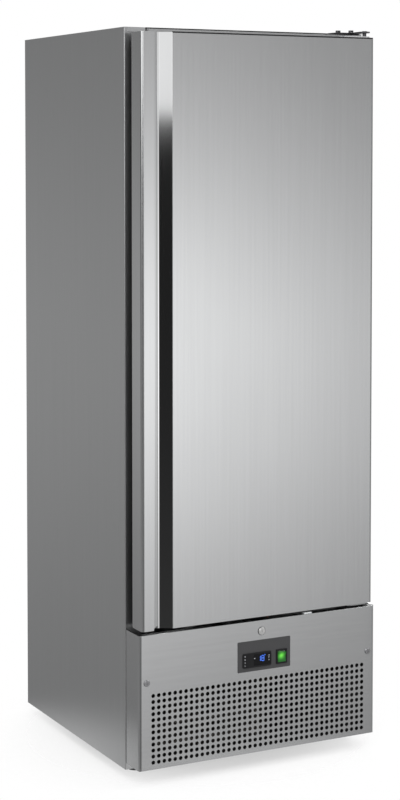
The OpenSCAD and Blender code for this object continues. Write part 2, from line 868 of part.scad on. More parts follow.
// A plate in the gap under the door, turned down behind the base panel onto the stile
module bottom_hinge_bracket() {
    color(galvanised) difference() {
        union() {
            translate([0, 0, bracket_z]) linear_extrude(height = hinge_t)
                hinge_outline(carcass_y, door_x - hinge_w);
            translate([half_w - stile_w + 1, carcass_y - flange_t, bracket_z - bracket_drop])
                cube([stile_w - 5 - panel_inset, flange_t, bracket_drop + 1]);
        }
        for (z = bolt_z) bar_y(screw_x, carcass_y + 1, z, bolt_d + 2 * run_gap, flange_t + 2);
    }
}

// The plate over the place of the hinge when the door is hung on its other side
module hinge_blank() {
    blank_w = 48;
    color(polished) translate([-door_x - 1, carcass_y - 1.5, top_z - head_strip + 2])
        cube([blank_w, 1.5, head_strip - 3]);
}

// The pale pad in the gap above the base panel, which tells whether the door is shut
sensor_x = 141;
module door_sensor() {
    color(white) translate([sensor_x, front_y + lip_d / 2 + 1, box_z])
        linear_extrude(height = door_gap / 3) round_rect(23, lip_d - 6, 2);
}

// The door

hem_d = 2 * skin_t + hem_gap;
hem_r = hem_d / 2 - 0.1;
skin_path = folded([
    [grip_x, front_y, 0], [door_x, front_y, edge_r],
    [door_x, door_back_y, bend_r], [door_x - door_return, door_back_y, 0]
]);
wing_path = folded([
    [-door_x + door_return, door_back_y, 0], [-door_x, door_back_y, bend_r],
    [-door_x, front_y, edge_r], [-door_x + wing_w, front_y, hem_r],
    [-door_x + wing_w, front_y + hem_d, hem_r], [-door_x + wing_w - hem_w, front_y + hem_d, 0]
]);
channel_path = folded([
    [-door_x + skin_t, recess_y, 0], [grip_x - grip_slant, recess_y, 6],
    [grip_x, front_y + skin_t, 0], [grip_x + channel_flange, front_y + skin_t, 0]
]);

// The outline of the foam inside the door, between its sheets
door_inside = concat(
    [for (i = [1:bend_steps + 1]) beside(wing_path, skin_t)[i]],
    beside(channel_path, channel_t),
    [[grip_x + channel_flange, front_y + skin_t]],
    [for (i = [1:2 * bend_steps + 2]) beside(skin_path, skin_t)[i]]
);

module door_skin() {
    color(steel) translate([0, 0, door_z]) sheet(skin_path, skin_t, door_h);
}

module handle_wing() {
    color(steel) difference() {
        translate([0, 0, door_z]) sheet(wing_path, skin_t, door_h);
        bar_y(-door_x + wing_w, front_y + 10, door_z, 2 * notch_r, 20);
    }
}

module grip_channel() {
    color(polished) translate([0, 0, door_z]) sheet(channel_path, channel_t, door_h);
}

// The plates that close the foam at the door's top and underside
module door_end_plates() {
    color(steel) difference() {
        for (z = [door_z, door_top - skin_t])
            translate([0, 0, z]) linear_extrude(height = skin_t) polygon(door_inside);
        for (z = [door_z, door_top]) translate([pin_x, pin_y, z - 3]) cylinder(d = bush_d, h = 6);
        translate([keep_x0, keep_y0, door_z - 1])
            cube([keep_x1 - keep_x0, keep_y1 - keep_y0, skin_t + 2]);
    }
}

pan_x = door_x - gasket_in - gasket_w - 8;
pan_z0 = door_z + gasket_in + gasket_w + 8;
pan_z1 = door_top - gasket_in - gasket_w - 8;
pan_back = carcass_y - 4;

// The raised middle of the inner door panel, less grow on each side
module pan_block(y0, y1, grow) {
    facing(y1, y1 - y0) translate([0, (pan_z0 + pan_z1) / 2])
        round_rect(2 * (pan_x - grow), pan_z1 - pan_z0 - 2 * grow, liner_r);
}

module door_insulation() {
    color([0.93, 0.88, 0.7]) difference() {
        union() {
            translate([0, 0, door_z + skin_t])
                linear_extrude(height = door_h - 2 * skin_t) polygon(door_inside);
            pan_block(door_back_y - skin_t - 1, pan_back - liner_t, liner_t);
        }
        for (z = [door_z, door_top - bush_l]) translate([pin_x, pin_y, z])
            cylinder(d = bush_d, h = bush_l);
        translate([keep_x0 - keep_t, keep_y0 - keep_t, door_z])
            cube([keep_x1 - keep_x0 + 2 * keep_t, keep_y1 - keep_y0 + 2 * keep_t,
                  keep_d + keep_t + skin_t]);
    }
}

module door_liner() {
    flange_x = door_x - door_return;
    flange_z = door_h - 2 * skin_t;
    color(white) difference() {
        union() {
            facing(door_back_y, skin_t) translate([0, door_z + door_h / 2])
                square([2 * flange_x, flange_z], center = true);
            pan_block(door_back_y - 0.5, pan_back, 0);
        }
        pan_block(door_back_y - skin_t - 1, pan_back - liner_t, liner_t);
    }
}

// The magnetic gasket: a base, a narrow bellows and the magnet's head, round the door
module gasket_ring(y0, y1, inset) {
    w = 2 * (door_x - gasket_in);
    h = door_h - 2 * gasket_in;
    facing(y1, y1 - y0) translate([0, door_z + door_h / 2]) difference() {
        square([w - 2 * inset, h - 2 * inset], center = true);
        square([w - 2 * gasket_w + 2 * inset, h - 2 * gasket_w + 2 * inset], center = true);
    }
}

module door_gasket() {
    depth = carcass_y - move_gap - door_back_y;
    color([0.12, 0.12, 0.13]) {
        gasket_ring(door_back_y, door_back_y + depth * 0.25, 0);
        gasket_ring(door_back_y + depth * 0.25 - 0.01, door_back_y + depth * 0.6, 4);
        gasket_ring(door_back_y + depth * 0.6 - 0.01, door_back_y + depth, 1);
    }
}

module bush_plate() {
    color(polished) translate([0, 0, door_top]) difference() {
        linear_extrude(height = bush_plate_t) {
            translate([pin_x, pin_y]) circle(r = pin_in_x - 1);
            translate([door_x - bush_plate_w + 4, pin_y - pin_in_x + 1])
                square([pin_x - door_x + bush_plate_w - 4, 2 * (pin_in_x - 1)]);
        }
        translate([pin_x, pin_y, -1]) cylinder(d = bush_d, h = bush_plate_t + 2);
    }
}

module door_bushes() {
    color([0.85, 0.85, 0.82]) {
        translate([pin_x, pin_y, door_z]) difference() {
            cylinder(d = bush_d, h = bush_l);
            translate([0, 0, -1]) cylinder(d = pin_d + 2 * run_gap, h = pin_bite + 2);
        }
        translate([pin_x, pin_y, door_top - bush_l]) difference() {
            cylinder(d = bush_d, h = bush_l + bush_plate_t);
            translate([0, 0, bush_l - pin_bite - 1])
                cylinder(d = pin_d + 2 * run_gap, h = pin_bite + bush_plate_t + 2);
        }
    }
}

// The shelves

module shelf_uprights() {
    color(polished) for (s = [-1, 1], y = upright_y) difference() {
        translate([s * (liner_x - upright_d / 2), y, upright_z + upright_h / 2])
            cube([upright_d, upright_w, upright_h], center = true);
        translate([s * (liner_x - upright_d / 2 + 0.75 * 2), y, upright_z + upright_h / 2])
            cube([upright_d, upright_w - 3, upright_h + 2], center = true);
        for (z = [upright_z + 20:slot_pitch:upright_z + upright_h - 20])
            translate([s * (liner_x - upright_d), y, z]) cube([6, slot_w, slot_h], center = true);
    }
}

function shelf_z(i) =
    upright_z + 20 + round((shelf_up - 50 + i * shelf_pitch) / slot_pitch) * slot_pitch;

// A clip hooks into a slot and carries the shelf's side rod
module shelf_clips() {
    color(polished) for (i = [0:shelf_count - 1], s = [-1, 1], y = upright_y)
        translate([s * (liner_x - upright_d - clip_l / 2), y, shelf_z(i)]) {
            cube([clip_l, 12, clip_t], center = true);
            translate([s * (clip_l / 2 + 1), 0, 0]) cube([6, slot_w - 0.2, slot_h - 0.4], center = true);
        }
}

module wire_shelf(i) {
    z = shelf_z(i) + clip_t / 2 + rod_d / 2;
    depth = shelf_back - shelf_front;
    wire_z = z + (rod_d + wire_d) / 2 - 1;
    wire_step = (2 * shelf_x - 2 * rod_d) / (wire_count + 1);
    for (s = [-1, 1])
        bar_y(s * (shelf_x - rod_d / 2), shelf_back, z, rod_d, depth, $fn = 24);
    for (t = [0.04, 0.5, 0.96])
        bar_x(-shelf_x + rod_d / 2, shelf_front + t * depth, z, rod_d - 1, 2 * shelf_x - rod_d);
    for (k = [1:wire_count])
        bar_y(-shelf_x + rod_d + k * wire_step, shelf_back, wire_z, wire_d, depth, $fn = 16);
}

module wire_shelves() {
    color(white) for (i = [0:shelf_count - 1]) wire_shelf(i);
}

// The evaporator

// Fins of size [d, h] along X between x0 and x1, on tubes that run through them
module finned_block(x0, x1, d, h, fins, tube_ys, tube_zs, tube_d) {
    pitch = (x1 - x0 - 0.8) / (fins - 1);
    for (i = [0:fins - 1]) translate([x0 + i * pitch, -d / 2, 0]) cube([0.8, d, h]);
    for (y = tube_ys, z = tube_zs) translate([x0 - 6, y, z]) rotate([0, 90, 0])
        cylinder(d = tube_d, h = x1 - x0 + 12, $fn = 24);
}

coil_d = 130;
coil_h = cover_h - 40;
module evaporator() {
    color([0.7, 0.72, 0.74]) translate([0, coil_y + coil_d / 2, liner_top - coil_h - 6]) {
        finned_block(-cover_x + 40, cover_x - 40, coil_d, coil_h, 18,
                     [-40, 0, 40], [coil_h * 0.3, coil_h * 0.7], 9);
        for (s = [-1, 1], y = [-coil_d / 2 + 5, coil_d / 2 - 5])
            translate([s * (cover_x - 40), y, coil_h - 1]) cylinder(d = 8, h = 7);
    }
}

module evaporator_cover() {
    fan_hole = small_fan_d + 8;
    color([0.82, 0.84, 0.85]) {
        difference() {
            translate([-cover_x, cover_y, cover_z]) cube([2 * cover_x, cover_back - cover_y, cover_h]);
            translate([-cover_x + cover_t, cover_y + cover_t, cover_z + cover_t])
                cube([2 * (cover_x - cover_t), cover_back - cover_y - 2 * cover_t, cover_h]);
            bar_y(0, cover_y + cover_t + 1, small_fan_z, fan_hole, cover_t + 2);
            for (x = [-3:3]) translate([x * 50 - 15, cover_back - 60, cover_z - 1])
                cube([30, 8, cover_t + 2]);
        }
        facing(cover_y + cover_t, cover_t) translate([0, small_fan_z]) {
            for (r = [fan_hole * 0.18, fan_hole * 0.34]) difference() {
                circle(r = r);
                circle(r = r - 2);
            }
            for (a = [45, 135]) rotate(a) square([fan_hole + 1, 2.5], center = true);
        }
    }
}

// A fan: a hub with blades that lean, trimmed to a circle, on a bore for its shaft
module fan(d, hub, depth, blades, lean) {
    difference() {
        union() {
            bar_y(0, depth / 2, 0, hub, depth);
            intersection() {
                bar_y(0, depth / 2, 0, d, depth);
                for (k = [0:blades - 1]) rotate([0, k * 360 / blades, 0]) translate([0, 0, hub / 2 - 2])
                    rotate([0, 0, lean]) translate([-d * 0.16, -1, 0]) cube([d * 0.32, 2, d / 2]);
            }
        }
        bar_y(0, depth, 0, shaft_d + 2 * run_gap, 2 * depth);
    }
}

// A motor behind its fan, with the shaft that carries it and an upright stay
module fan_motor(d, l, gap, stay_z0, stay_z1) {
    bar_y(0, gap + l, 0, d, l);
    bar_y(0, gap + 1, 0, shaft_d, 2 * gap + 1);
    translate([-15, gap + l - 6, stay_z0]) cube([30, 3, stay_z1 - stay_z0]);
}

small_fan_depth = 18;
cond_fan_depth = 26;

// Both fan motors: one stands on the unit's base, the other hangs from the liner's ceiling
module fan_motors() {
    color([0.2, 0.2, 0.22]) {
        translate([0, small_fan_y, small_fan_z])
            fan_motor(50, 34, small_fan_depth / 2 + 2, 0, liner_top - small_fan_z);
        translate([cond_x, fan_y, fan_z])
            fan_motor(76, 52, cond_fan_depth / 2 + 6, deck_z - fan_z, 0);
    }
}

module evaporator_fan() {
    color([0.15, 0.15, 0.16]) translate([0, small_fan_y, small_fan_z])
        fan(small_fan_d, small_hub_d, small_fan_depth, 5, 28);
}

// The condensing unit

module condensing_unit_base() {
    x0 = cond_x - cond_w / 2 - 10;
    y0 = cond_y - 12;
    color(black) translate([x0, y0, tray_z])
        cube([pot_x + deck_past_x - x0, pot_y + deck_past_y - y0, unit_base_t]);
}

module compressor_grommets() {
    rim = grommet_h / 3;
    neck = rim + (grommet_r - grommet_neck_r) / 2;
    color([0.1, 0.1, 0.1]) for (x = [-grommet_step, grommet_step], y = [-grommet_step, grommet_step])
        translate([pot_x + x, pot_y + y, deck_z]) rotate_extrude() polygon([
            [0, 0], [grommet_r, 0], [grommet_r, rim], [grommet_neck_r, neck],
            [grommet_neck_r, grommet_h - neck], [grommet_r, grommet_h - rim],
            [grommet_r, grommet_h], [0, grommet_h]]);
}

// The sheet duct between the condenser and its fan
module fan_shroud() {
    front = cond_y + cond_d - fan_y;
    back = front + shroud_d;
    color(black) translate([cond_x, fan_y, 0]) difference() {
        translate([-cond_w / 2, front, deck_z]) cube([cond_w, back - front, cond_h]);
        translate([-cond_w / 2 + 2, front - 1, deck_z + 2])
            cube([cond_w - 4, back - front - 1, cond_h - 4]);
        bar_y(0, back + 1, fan_z, fan_d + duct_ring, 6);
    }
}

// A welded pot on a base plate, with its relay box and a stub for the suction pipe
module compressor() {
    color(black) translate([pot_x, pot_y, pot_z]) {
        linear_extrude(height = pot_base_t) round_rect(pot_base, pot_base, 12);
        translate([0, 0, pot_base_t]) rotate_extrude() polygon(concat(
            [[0, 0], [pot_d / 2 - 12, 0]],
            [for (a = [-60:15:0]) [pot_d / 2 - 12 + 12 * cos(a), 16 + 12 * sin(a)]],
            [for (a = [0:10:80]) [(pot_d / 2) * cos(a), pot_h - 50 + 50 * sin(a)]],
            [[0, pot_h]]));
        translate([-pot_d / 2 - relay_out, -relay_w / 2, relay_z])
            cube([relay_out + 18, relay_w, relay_h]);
        cylinder(d = 16, h = pot_h + stub_h);
    }
}

module condenser() {
    color([0.5, 0.47, 0.44]) translate([cond_x, cond_y + cond_d / 2, deck_z])
        finned_block(-cond_w / 2, cond_w / 2, cond_d, cond_h, 24,
                     [-11, 11], [for (i = [0:4]) cond_h * (0.1 + 0.2 * i)], 9);
}

module condenser_fan() {
    color([0.35, 0.36, 0.38]) translate([cond_x, fan_y, fan_z])
        fan(fan_d, hub_d, cond_fan_depth, 5, 26);
}

// The side corners of a ring of a tube round point p, square to direction t
function ring(p, t, r, sides) =
    let (up = abs(t[2]) > 0.9 ? [1, 0, 0] : [0, 0, 1], u = unit(cross(t, up)), w = cross(t, u))
    [for (k = [0:sides - 1]) p + r * (u * cos(k * 360 / sides) + w * sin(k * 360 / sides))];

// A tube through points: one closed mesh
module tube(points, r, sides = 8) {
    last = len(points) - 1;
    rings = [for (i = [0:last])
        each ring(points[i], unit(points[min(i + 1, last)] - points[max(i - 1, 0)]), r, sides)];
    polyhedron(rings, concat(
        [[for (k = [0:sides - 1]) k]],
        [for (i = [0:last - 1], k = [0:sides - 1]) let (n = (k + 1) % sides)
            [i * sides + k, (i + 1) * sides + k, (i + 1) * sides + n, i * sides + n]],
        [[for (k = [sides - 1:-1:0]) last * sides + k]]));
}

// The suction pipe from the compressor into the foamed box, and the filter drier on its tube
module refrigerant_pipes() {
    low = pot_z + pot_h + stub_h;
    side = pot_x - riser_in;
    color([0.72, 0.45, 0.3]) {
        tube([[pot_x, pot_y, low], [pot_x, pot_y, low + 14], [pot_x - 6, pot_y, low + 26],
              [pot_x - 20, pot_y, low + 32], [side + 18, pot_y, low + 34], [side + 5, pot_y, low + 39],
              [side, pot_y, low + 52], [side, pot_y, box_z]], 5);
        translate([pot_x + drier_x, pot_y - drier_y, deck_z]) {
            cylinder(d = 6, h = box_z - deck_z);
            translate([0, 0, drier_z]) cylinder(d = 24, h = drier_l);
        }
    }
}

// A levelling foot: a disc with a hexagon, and a stem in the tray's socket
module levelling_foot(s) {
    color([0.2, 0.2, 0.21]) translate([s * foot_x, foot_y, 0]) {
        cylinder(d = foot_d, h = foot_disc_h - 4);
        cylinder(d = 24, h = foot_disc_h, $fn = 6);
        cylinder(d = stem_d, h = tray_z + socket_h - 4);
    }
}

module foot_left() { levelling_foot(-1); }
module foot_right() { levelling_foot(1); }

// A rear roller, which turns on the axle of its bracket in the tray
module roller(s) {
    color([0.85, 0.85, 0.83]) translate([s * roller_x - roller_w / 2, roller_y, roller_d / 2])
        rotate([0, 90, 0]) rotate_extrude() polygon([
            [axle_d / 2 + run_gap, 0], [roller_d / 2 - 2, 0], [roller_d / 2, 2],
            [roller_d / 2, roller_w - 2], [roller_d / 2 - 2, roller_w],
            [axle_d / 2 + run_gap, roller_w]]);
}

module roller_left() { roller(-1); }
module roller_right() { roller(1); }

side_panel_left();
side_panel_right();
top_panel();
back_panel();
rear_vent_cover();
cord_gland();
floor_skin();
insulation();
liner();
breaker_strip();
base_tray();
base_panel();
panel_brackets();
panel_screws();
control_plate();
controller_case();
display_window();
controller_key_1();
controller_key_2();
controller_key_3();
controller_key_4();
switch_bezel();
switch_rocker();
lock_body();
lock_plug();
lock_cam();
hinge_blank();
top_hinge_plate();
hinge_bolts();
hinge_pins();
bottom_hinge_bracket();
door_sensor();
door_skin();
handle_wing();
grip_channel();
door_end_plates();
door_insulation();
door_liner();
door_gasket();
bush_plate();
door_bushes();
lock_keep();
shelf_uprights();
shelf_clips();
wire_shelves();
evaporator();
evaporator_cover();
fan_motors();
evaporator_fan();
condensing_unit_base();
compressor_grommets();
compressor();
condenser();
fan_shroud();
condenser_fan();
refrigerant_pipes();
foot_left();
foot_right();
roller_left();
roller_right();
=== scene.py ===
"""Upright snack freezer cabinet in folded stainless steel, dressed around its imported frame.

Every length is in metres, in the frame's own axes: X to the right, Y to the back, Z up, with
the origin on the floor under the middle of the cabinet. Sizes come from the frame's nodes and
from a few sheet-metal values that are named here.
"""

import json
import logging
import math
from dataclasses import dataclass, replace
from enum import Enum
from typing import Any, Callable, Iterable, Optional, Sequence, Union

import bmesh  # noqa: E402
import bpy  # noqa: E402
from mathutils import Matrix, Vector  # noqa: E402

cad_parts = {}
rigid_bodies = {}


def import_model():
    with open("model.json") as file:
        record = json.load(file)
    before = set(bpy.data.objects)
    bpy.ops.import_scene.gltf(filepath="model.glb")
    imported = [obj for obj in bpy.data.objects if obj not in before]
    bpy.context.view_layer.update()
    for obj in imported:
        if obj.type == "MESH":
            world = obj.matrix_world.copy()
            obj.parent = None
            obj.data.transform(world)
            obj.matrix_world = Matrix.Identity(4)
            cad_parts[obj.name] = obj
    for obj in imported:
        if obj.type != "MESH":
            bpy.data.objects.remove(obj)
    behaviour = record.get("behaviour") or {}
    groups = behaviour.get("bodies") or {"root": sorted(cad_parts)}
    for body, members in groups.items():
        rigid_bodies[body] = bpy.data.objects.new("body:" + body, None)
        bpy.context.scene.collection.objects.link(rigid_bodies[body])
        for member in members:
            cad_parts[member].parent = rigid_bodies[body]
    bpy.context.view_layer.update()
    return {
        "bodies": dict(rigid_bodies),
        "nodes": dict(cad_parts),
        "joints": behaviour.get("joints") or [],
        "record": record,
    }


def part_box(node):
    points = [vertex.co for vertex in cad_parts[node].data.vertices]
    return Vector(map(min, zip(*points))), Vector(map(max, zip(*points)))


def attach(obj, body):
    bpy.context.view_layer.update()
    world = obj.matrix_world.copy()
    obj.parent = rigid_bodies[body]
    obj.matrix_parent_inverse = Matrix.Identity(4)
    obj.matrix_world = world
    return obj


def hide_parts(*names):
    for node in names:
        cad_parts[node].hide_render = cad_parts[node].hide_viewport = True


log = logging.getLogger("cabinet")

MM = 0.001
NEAR = 0.01 * MM
# How far a cutting tool stands out of the face that it cuts
CLEAR = 1 * MM
# How far two joined pieces run into each other
OVERLAP = 0.2 * MM
QUARTER = math.pi / 2
LEFT, RIGHT = -1, 1
# The strokes of each figure on the display, by their usual letters
LIT_STROKES = {"1": "bc", "8": "abcdefg"}
# The number of sides and the turn of the mark on each key
KEY_MARKS = {1: (3, math.pi), 2: (3, 0.0), 3: (24, 0.0), 4: (4, 0.0)}

Point = Sequence[float]
Colour = tuple[float, float, float]
Number = Union[float, "Shade"]
Test = Callable[[Vector], bool]


class Axis(Enum):
    """The direction that a round primitive or a grain points along."""

    X = 0
    Y = 1
    Z = 2

    @property
    def turn(self) -> tuple[float, float, float]:
        """The rotation that takes a primitive's Z axis to this axis."""
        return ((0.0, QUARTER, 0.0), (QUARTER, 0.0, 0.0), (0.0, 0.0, 0.0))[self.value]

    def at(self, place: float) -> Test:
        """Returns a test for points that lie at a place along this axis."""
        return lambda point: abs(point[self.value] - place) < NEAR


class Pick(Enum):
    """What a selection in edit mode is made of."""

    VERTS = "VERT"
    EDGES = "EDGE"
    FACES = "FACE"


@dataclass(frozen=True)
class Box:
    """The lowest and the highest corner of a node or of a new piece."""

    x0: float
    y0: float
    z0: float
    x1: float
    y1: float
    z1: float

    @classmethod
    def of(cls, node: str) -> "Box":
        """Measures a node of the frame."""
        low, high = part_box(node)
        return cls(*low, *high)

    @classmethod
    def about(
        cls, middle: Vector, half_x: float, half_z: float, front: float, back: float
    ) -> "Box":
        """Returns the box round a point seen from the front, between a front and a back."""
        x, z = middle.x, middle.z
        return cls(x - half_x, front, z - half_z, x + half_x, back, z + half_z)

    @property
    def middle(self) -> Vector:
        """The middle of the box."""
        return Vector(((self.x0 + self.x1) / 2, (self.y0 + self.y1) / 2, (self.z0 + self.z1) / 2))

    @property
    def size(self) -> Vector:
        """The width, the depth and the height of the box."""
        return Vector((self.x1 - self.x0, self.y1 - self.y0, self.z1 - self.z0))

    def inset(self, x: float, z: float) -> "Box":
        """Returns the box with its sides, bottom and top moved in, or out where negative."""
        return Box(self.x0 + x, self.y0, self.z0 + z, self.x1 - x, self.y1, self.z1 - z)

    def between(self, front: float, back: float) -> "Box":
        """Returns the box with another front and another back."""
        return replace(self, y0=front, y1=back)


class Shade:
    """A shader socket that adds its Math nodes when it is used in an expression."""

    def __init__(self, graph: "Graph", socket: bpy.types.NodeSocket) -> None:
        """Wraps a socket of a graph."""
        self.graph = graph
        self.socket = socket

    def _math(self, operation: str, first: Number, second: Number) -> "Shade":
        """Adds one Math node and returns its result."""
        return self.graph.add("ShaderNodeMath", {"operation": operation}, {0: first, 1: second})

    def __add__(self, other: Number) -> "Shade":
        """Returns the sum."""
        return self._math("ADD", self, other)

    __radd__ = __add__

    def __sub__(self, other: Number) -> "Shade":
        """Returns the difference."""
        return self._math("SUBTRACT", self, other)

    def __rsub__(self, other: Number) -> "Shade":
        """Returns the difference the other way round."""
        return self._math("SUBTRACT", other, self)

    def __mul__(self, other: Number) -> "Shade":
        """Returns the product."""
        return self._math("MULTIPLY", self, other)

    __rmul__ = __mul__

    def __pow__(self, other: Number) -> "Shade":
        """Returns this value to a power."""
        return self._math("POWER", self, other)

    def bell(self, middle: float, width: float) -> "Shade":
        """Returns a bell curve, 1 at the middle and 0.37 at the width from it."""
        return self._math("EXPONENT", -1.0 * ((self - middle) * (1 / width)) ** 2.0, 0.0)

    def within(self, low: float, high: float, width: float) -> "Shade":
        """Returns a soft band, 1 between two edges and 0 outside them."""
        return self.above(low, width) * (1.0 - self.above(high, width))

    def above(self, edge: float, width: float) -> "Shade":
        """Returns a soft step, from 0 below the edge to 1 above it."""
        sockets = {"Value": self, "From Min": edge - width / 2, "From Max": edge + width / 2}
        return self.graph.add("ShaderNodeMapRange", {"interpolation_type": "SMOOTHSTEP"}, sockets)


class Graph:
    """The nodes of one material or of the world."""

    def __init__(self, tree: bpy.types.NodeTree) -> None:
        """Starts with an empty tree."""
        self.tree = tree
        tree.nodes.clear()

    def add(
        self,
        kind: str,
        settings: Optional[dict[str, Any]] = None,
        sockets: Optional[dict[Union[str, int], Any]] = None,
        output: Union[str, int] = 0,
    ) -> Shade:
        """Adds a node.

        Args:
            kind: The node's type.
            settings: Its properties.
            sockets: A value or a link for each input, by name or place.
            output: The output that is returned.

        Returns:
            The wrapped output.
        """
        node = self.tree.nodes.new(kind)
        for name, value in (settings or {}).items():
            setattr(node, name, value)
        for key, value in (sockets or {}).items():
            self.feed(node.inputs[key], value)
        return Shade(self, node.outputs[output])

    def close(self, surface: Shade, kind: str = "ShaderNodeOutputMaterial") -> None:
        """Adds the output node and links the surface to it."""
        self.tree.links.new(surface.socket, self.tree.nodes.new(kind).inputs["Surface"])

    def feed(self, socket: bpy.types.NodeSocket, value: Any) -> None:
        """Links a shade to a socket, or sets its value.

        Args:
            socket: The input.
            value: A shade, a number, a vector or a colour.
        """
        if isinstance(value, Shade):
            self.tree.links.new(value.socket, socket)
        elif socket.type == "RGBA":
            socket.default_value = (*value, 1.0)
        else:
            socket.default_value = value

    def place(self, scale: Point = (1.0, 1.0, 1.0), shift: Point = (0.0, 0.0, 0.0)) -> Shade:
        """Reads the object's coordinates.

        Args:
            scale: What they are multiplied by, along each axis.
            shift: What is added to them after that.

        Returns:
            The coordinates.
        """
        coordinates = self.add("ShaderNodeTexCoord", output="Object")
        sockets = {"Vector": coordinates, "Scale": tuple(scale), "Location": tuple(shift)}
        return self.add("ShaderNodeMapping", {"vector_type": "POINT"}, sockets)

    def away(self, place: Shade) -> Shade:
        """Returns how far a place is from the origin."""
        return self.add("ShaderNodeVectorMath", {"operation": "LENGTH"}, {0: place}, "Value")

    def noise(self, scale: Point, detail: float = 2.0) -> Shade:
        """Returns noise whose grain is scaled along each axis, in features per metre."""
        sockets = {"Vector": self.place(scale), "Scale": 1.0, "Detail": detail, "Roughness": 0.5}
        return self.add("ShaderNodeTexNoise", {"noise_dimensions": "3D"}, sockets)

    def cells(self, scale: float, output: str) -> Shade:
        """Returns the colour or the distance of small cells, so many to a metre."""
        sockets = {"Vector": self.place(), "Scale": scale}
        return self.add("ShaderNodeTexVoronoi", {"feature": "F1"}, sockets, output)

    def mix(self, share: Number, first: Any, second: Any) -> Shade:
        """Returns a colour between two colours."""
        settings = {"data_type": "RGBA", "blend_type": "MIX"}
        return self.add("ShaderNodeMix", settings, {0: share, 6: first, 7: second}, output=2)

    def bump(self, height: Shade, strength: float, distance: float) -> Shade:
        """Returns a normal that is bent by a height."""
        sockets = {"Height": height, "Strength": strength, "Distance": distance}
        return self.add("ShaderNodeBump", None, sockets)


def new_material(name: str) -> tuple[bpy.types.Material, Graph]:
    """Adds a material.

    Args:
        name: Its name.

    Returns:
        The material and its nodes, of which there are none yet.
    """
    made = bpy.data.materials.new(name)
    made.use_nodes = True
    return made, Graph(made.node_tree)


def tint(tone: Colour, factor: float, lift: float = 0.0) -> Colour:
    """Returns a lighter or darker tone, no brighter than white."""
    return tuple(min(1.0, part * factor + lift) for part in tone)


class Finish:
    """A surface finish, built once and shared by all that wears it."""

    name: str

    def shade(self, graph: Graph) -> dict[str, Any]:
        """Returns the values and links of the Principled shader's sockets."""
        raise NotImplementedError

    def material(self) -> bpy.types.Material:
        """Builds the material, unless it is there.

        Returns:
            The material.
        """
        made = bpy.data.materials.get(self.name)
        if made is None:
            made, graph = new_material(self.name)
            graph.close(graph.add("ShaderNodeBsdfPrincipled", None, self.shade(graph)))
        return made


@dataclass(frozen=True)
class BrushedSteel(Finish):
    """Satin stainless sheet with a fine brushed grain along one axis."""

    name: str
    tone: Colour
    roughness: float
    grain: Axis
    fine: float = 1400.0
    stretch: float = 90.0

    def shade(self, graph: Graph) -> dict[str, Any]:
        """Streaks along the grain change tone, roughness and the surface's height a little.

        Args:
            graph: The material's nodes.

        Returns:
            The values and links of the shader's sockets.
        """
        scale = [self.fine] * 3
        scale[self.grain.value] = self.fine / self.stretch
        streaks = graph.noise(scale, detail=3.0)
        wide = graph.noise([value / 9 for value in scale])
        smudges = graph.noise((3.1, 3.3, 2.3))
        level = (streaks - 0.5) * 0.10 + (wide - 0.5) * 0.08 + 1.0
        sockets = {0: self.tone, "Scale": level}
        return {
            "Base Color": graph.add("ShaderNodeVectorMath", {"operation": "SCALE"}, sockets),
            "Metallic": 1.0,
            "Roughness": (streaks - 0.5) * 0.10 + (smudges - 0.5) * 0.05 + self.roughness,
            "Normal": graph.bump(streaks, 0.02, 0.03 * MM),
        }


@dataclass(frozen=True)
class PolishedSteel(Finish):
    """Bright stainless or plated steel with faint drawing lines."""

    name: str
    tone: Colour
    roughness: float
    grain: Axis

    def shade(self, graph: Graph) -> dict[str, Any]:
        """Faint lines along the grain keep the mirror from being perfect.

        Args:
            graph: The material's nodes.

        Returns:
            The values and links of the shader's sockets.
        """
        scale = [700.0] * 3
        scale[self.grain.value] = 5.0
        lines = graph.noise(scale)
        haze = graph.noise((9.0, 9.0, 6.0), detail=3.0)
        return {
            "Base Color": graph.mix(haze, self.tone, tint(self.tone, 0.93)),
            "Metallic": 1.0,
            "Roughness": ((lines - 0.5) * 0.35 + (haze - 0.5) * 0.35 + 1.0) * self.roughness,
            "Normal": graph.bump(lines, 0.01, 0.02 * MM),
        }


@dataclass(frozen=True)
class ZincPlate(Finish):
    """Galvanised sheet with its spangle."""

    name: str
    tone: Colour
    roughness: float

    def shade(self, graph: Graph) -> dict[str, Any]:
        """Crystals of different tone and gloss lie side by side.

        Args:
            graph: The material's nodes.

        Returns:
            The values and links of the shader's sockets.
        """
        spangle = graph.cells(90.0, "Color")
        grey = graph.add("ShaderNodeRGBToBW", None, {"Color": spangle})
        return {
            "Base Color": graph.mix(grey, tint(self.tone, 0.84), self.tone),
            "Metallic": 0.9,
            "Roughness": (grey - 0.5) * 0.16 + self.roughness,
        }


@dataclass(frozen=True)
class Paint(Finish):
    """Sprayed or powder-coated metal with a slight orange peel."""

    name: str
    tone: Colour
    roughness: float
    peel: float = 0.12

    def shade(self, graph: Graph) -> dict[str, Any]:
        """A fine peel in the coat and a little dust in the tone.

        Args:
            graph: The material's nodes.

        Returns:
            The values and links of the shader's sockets.
        """
        peel = graph.noise((420.0,) * 3)
        dust = graph.noise((26.0,) * 3, detail=4.0)
        return {
            "Base Color": graph.mix(dust, self.tone, tint(self.tone, 1.15, 0.004)),
            "Roughness": (dust - 0.5) * 0.16 + self.roughness,
            "Normal": graph.bump(peel, self.peel, 0.1 * MM),
        }


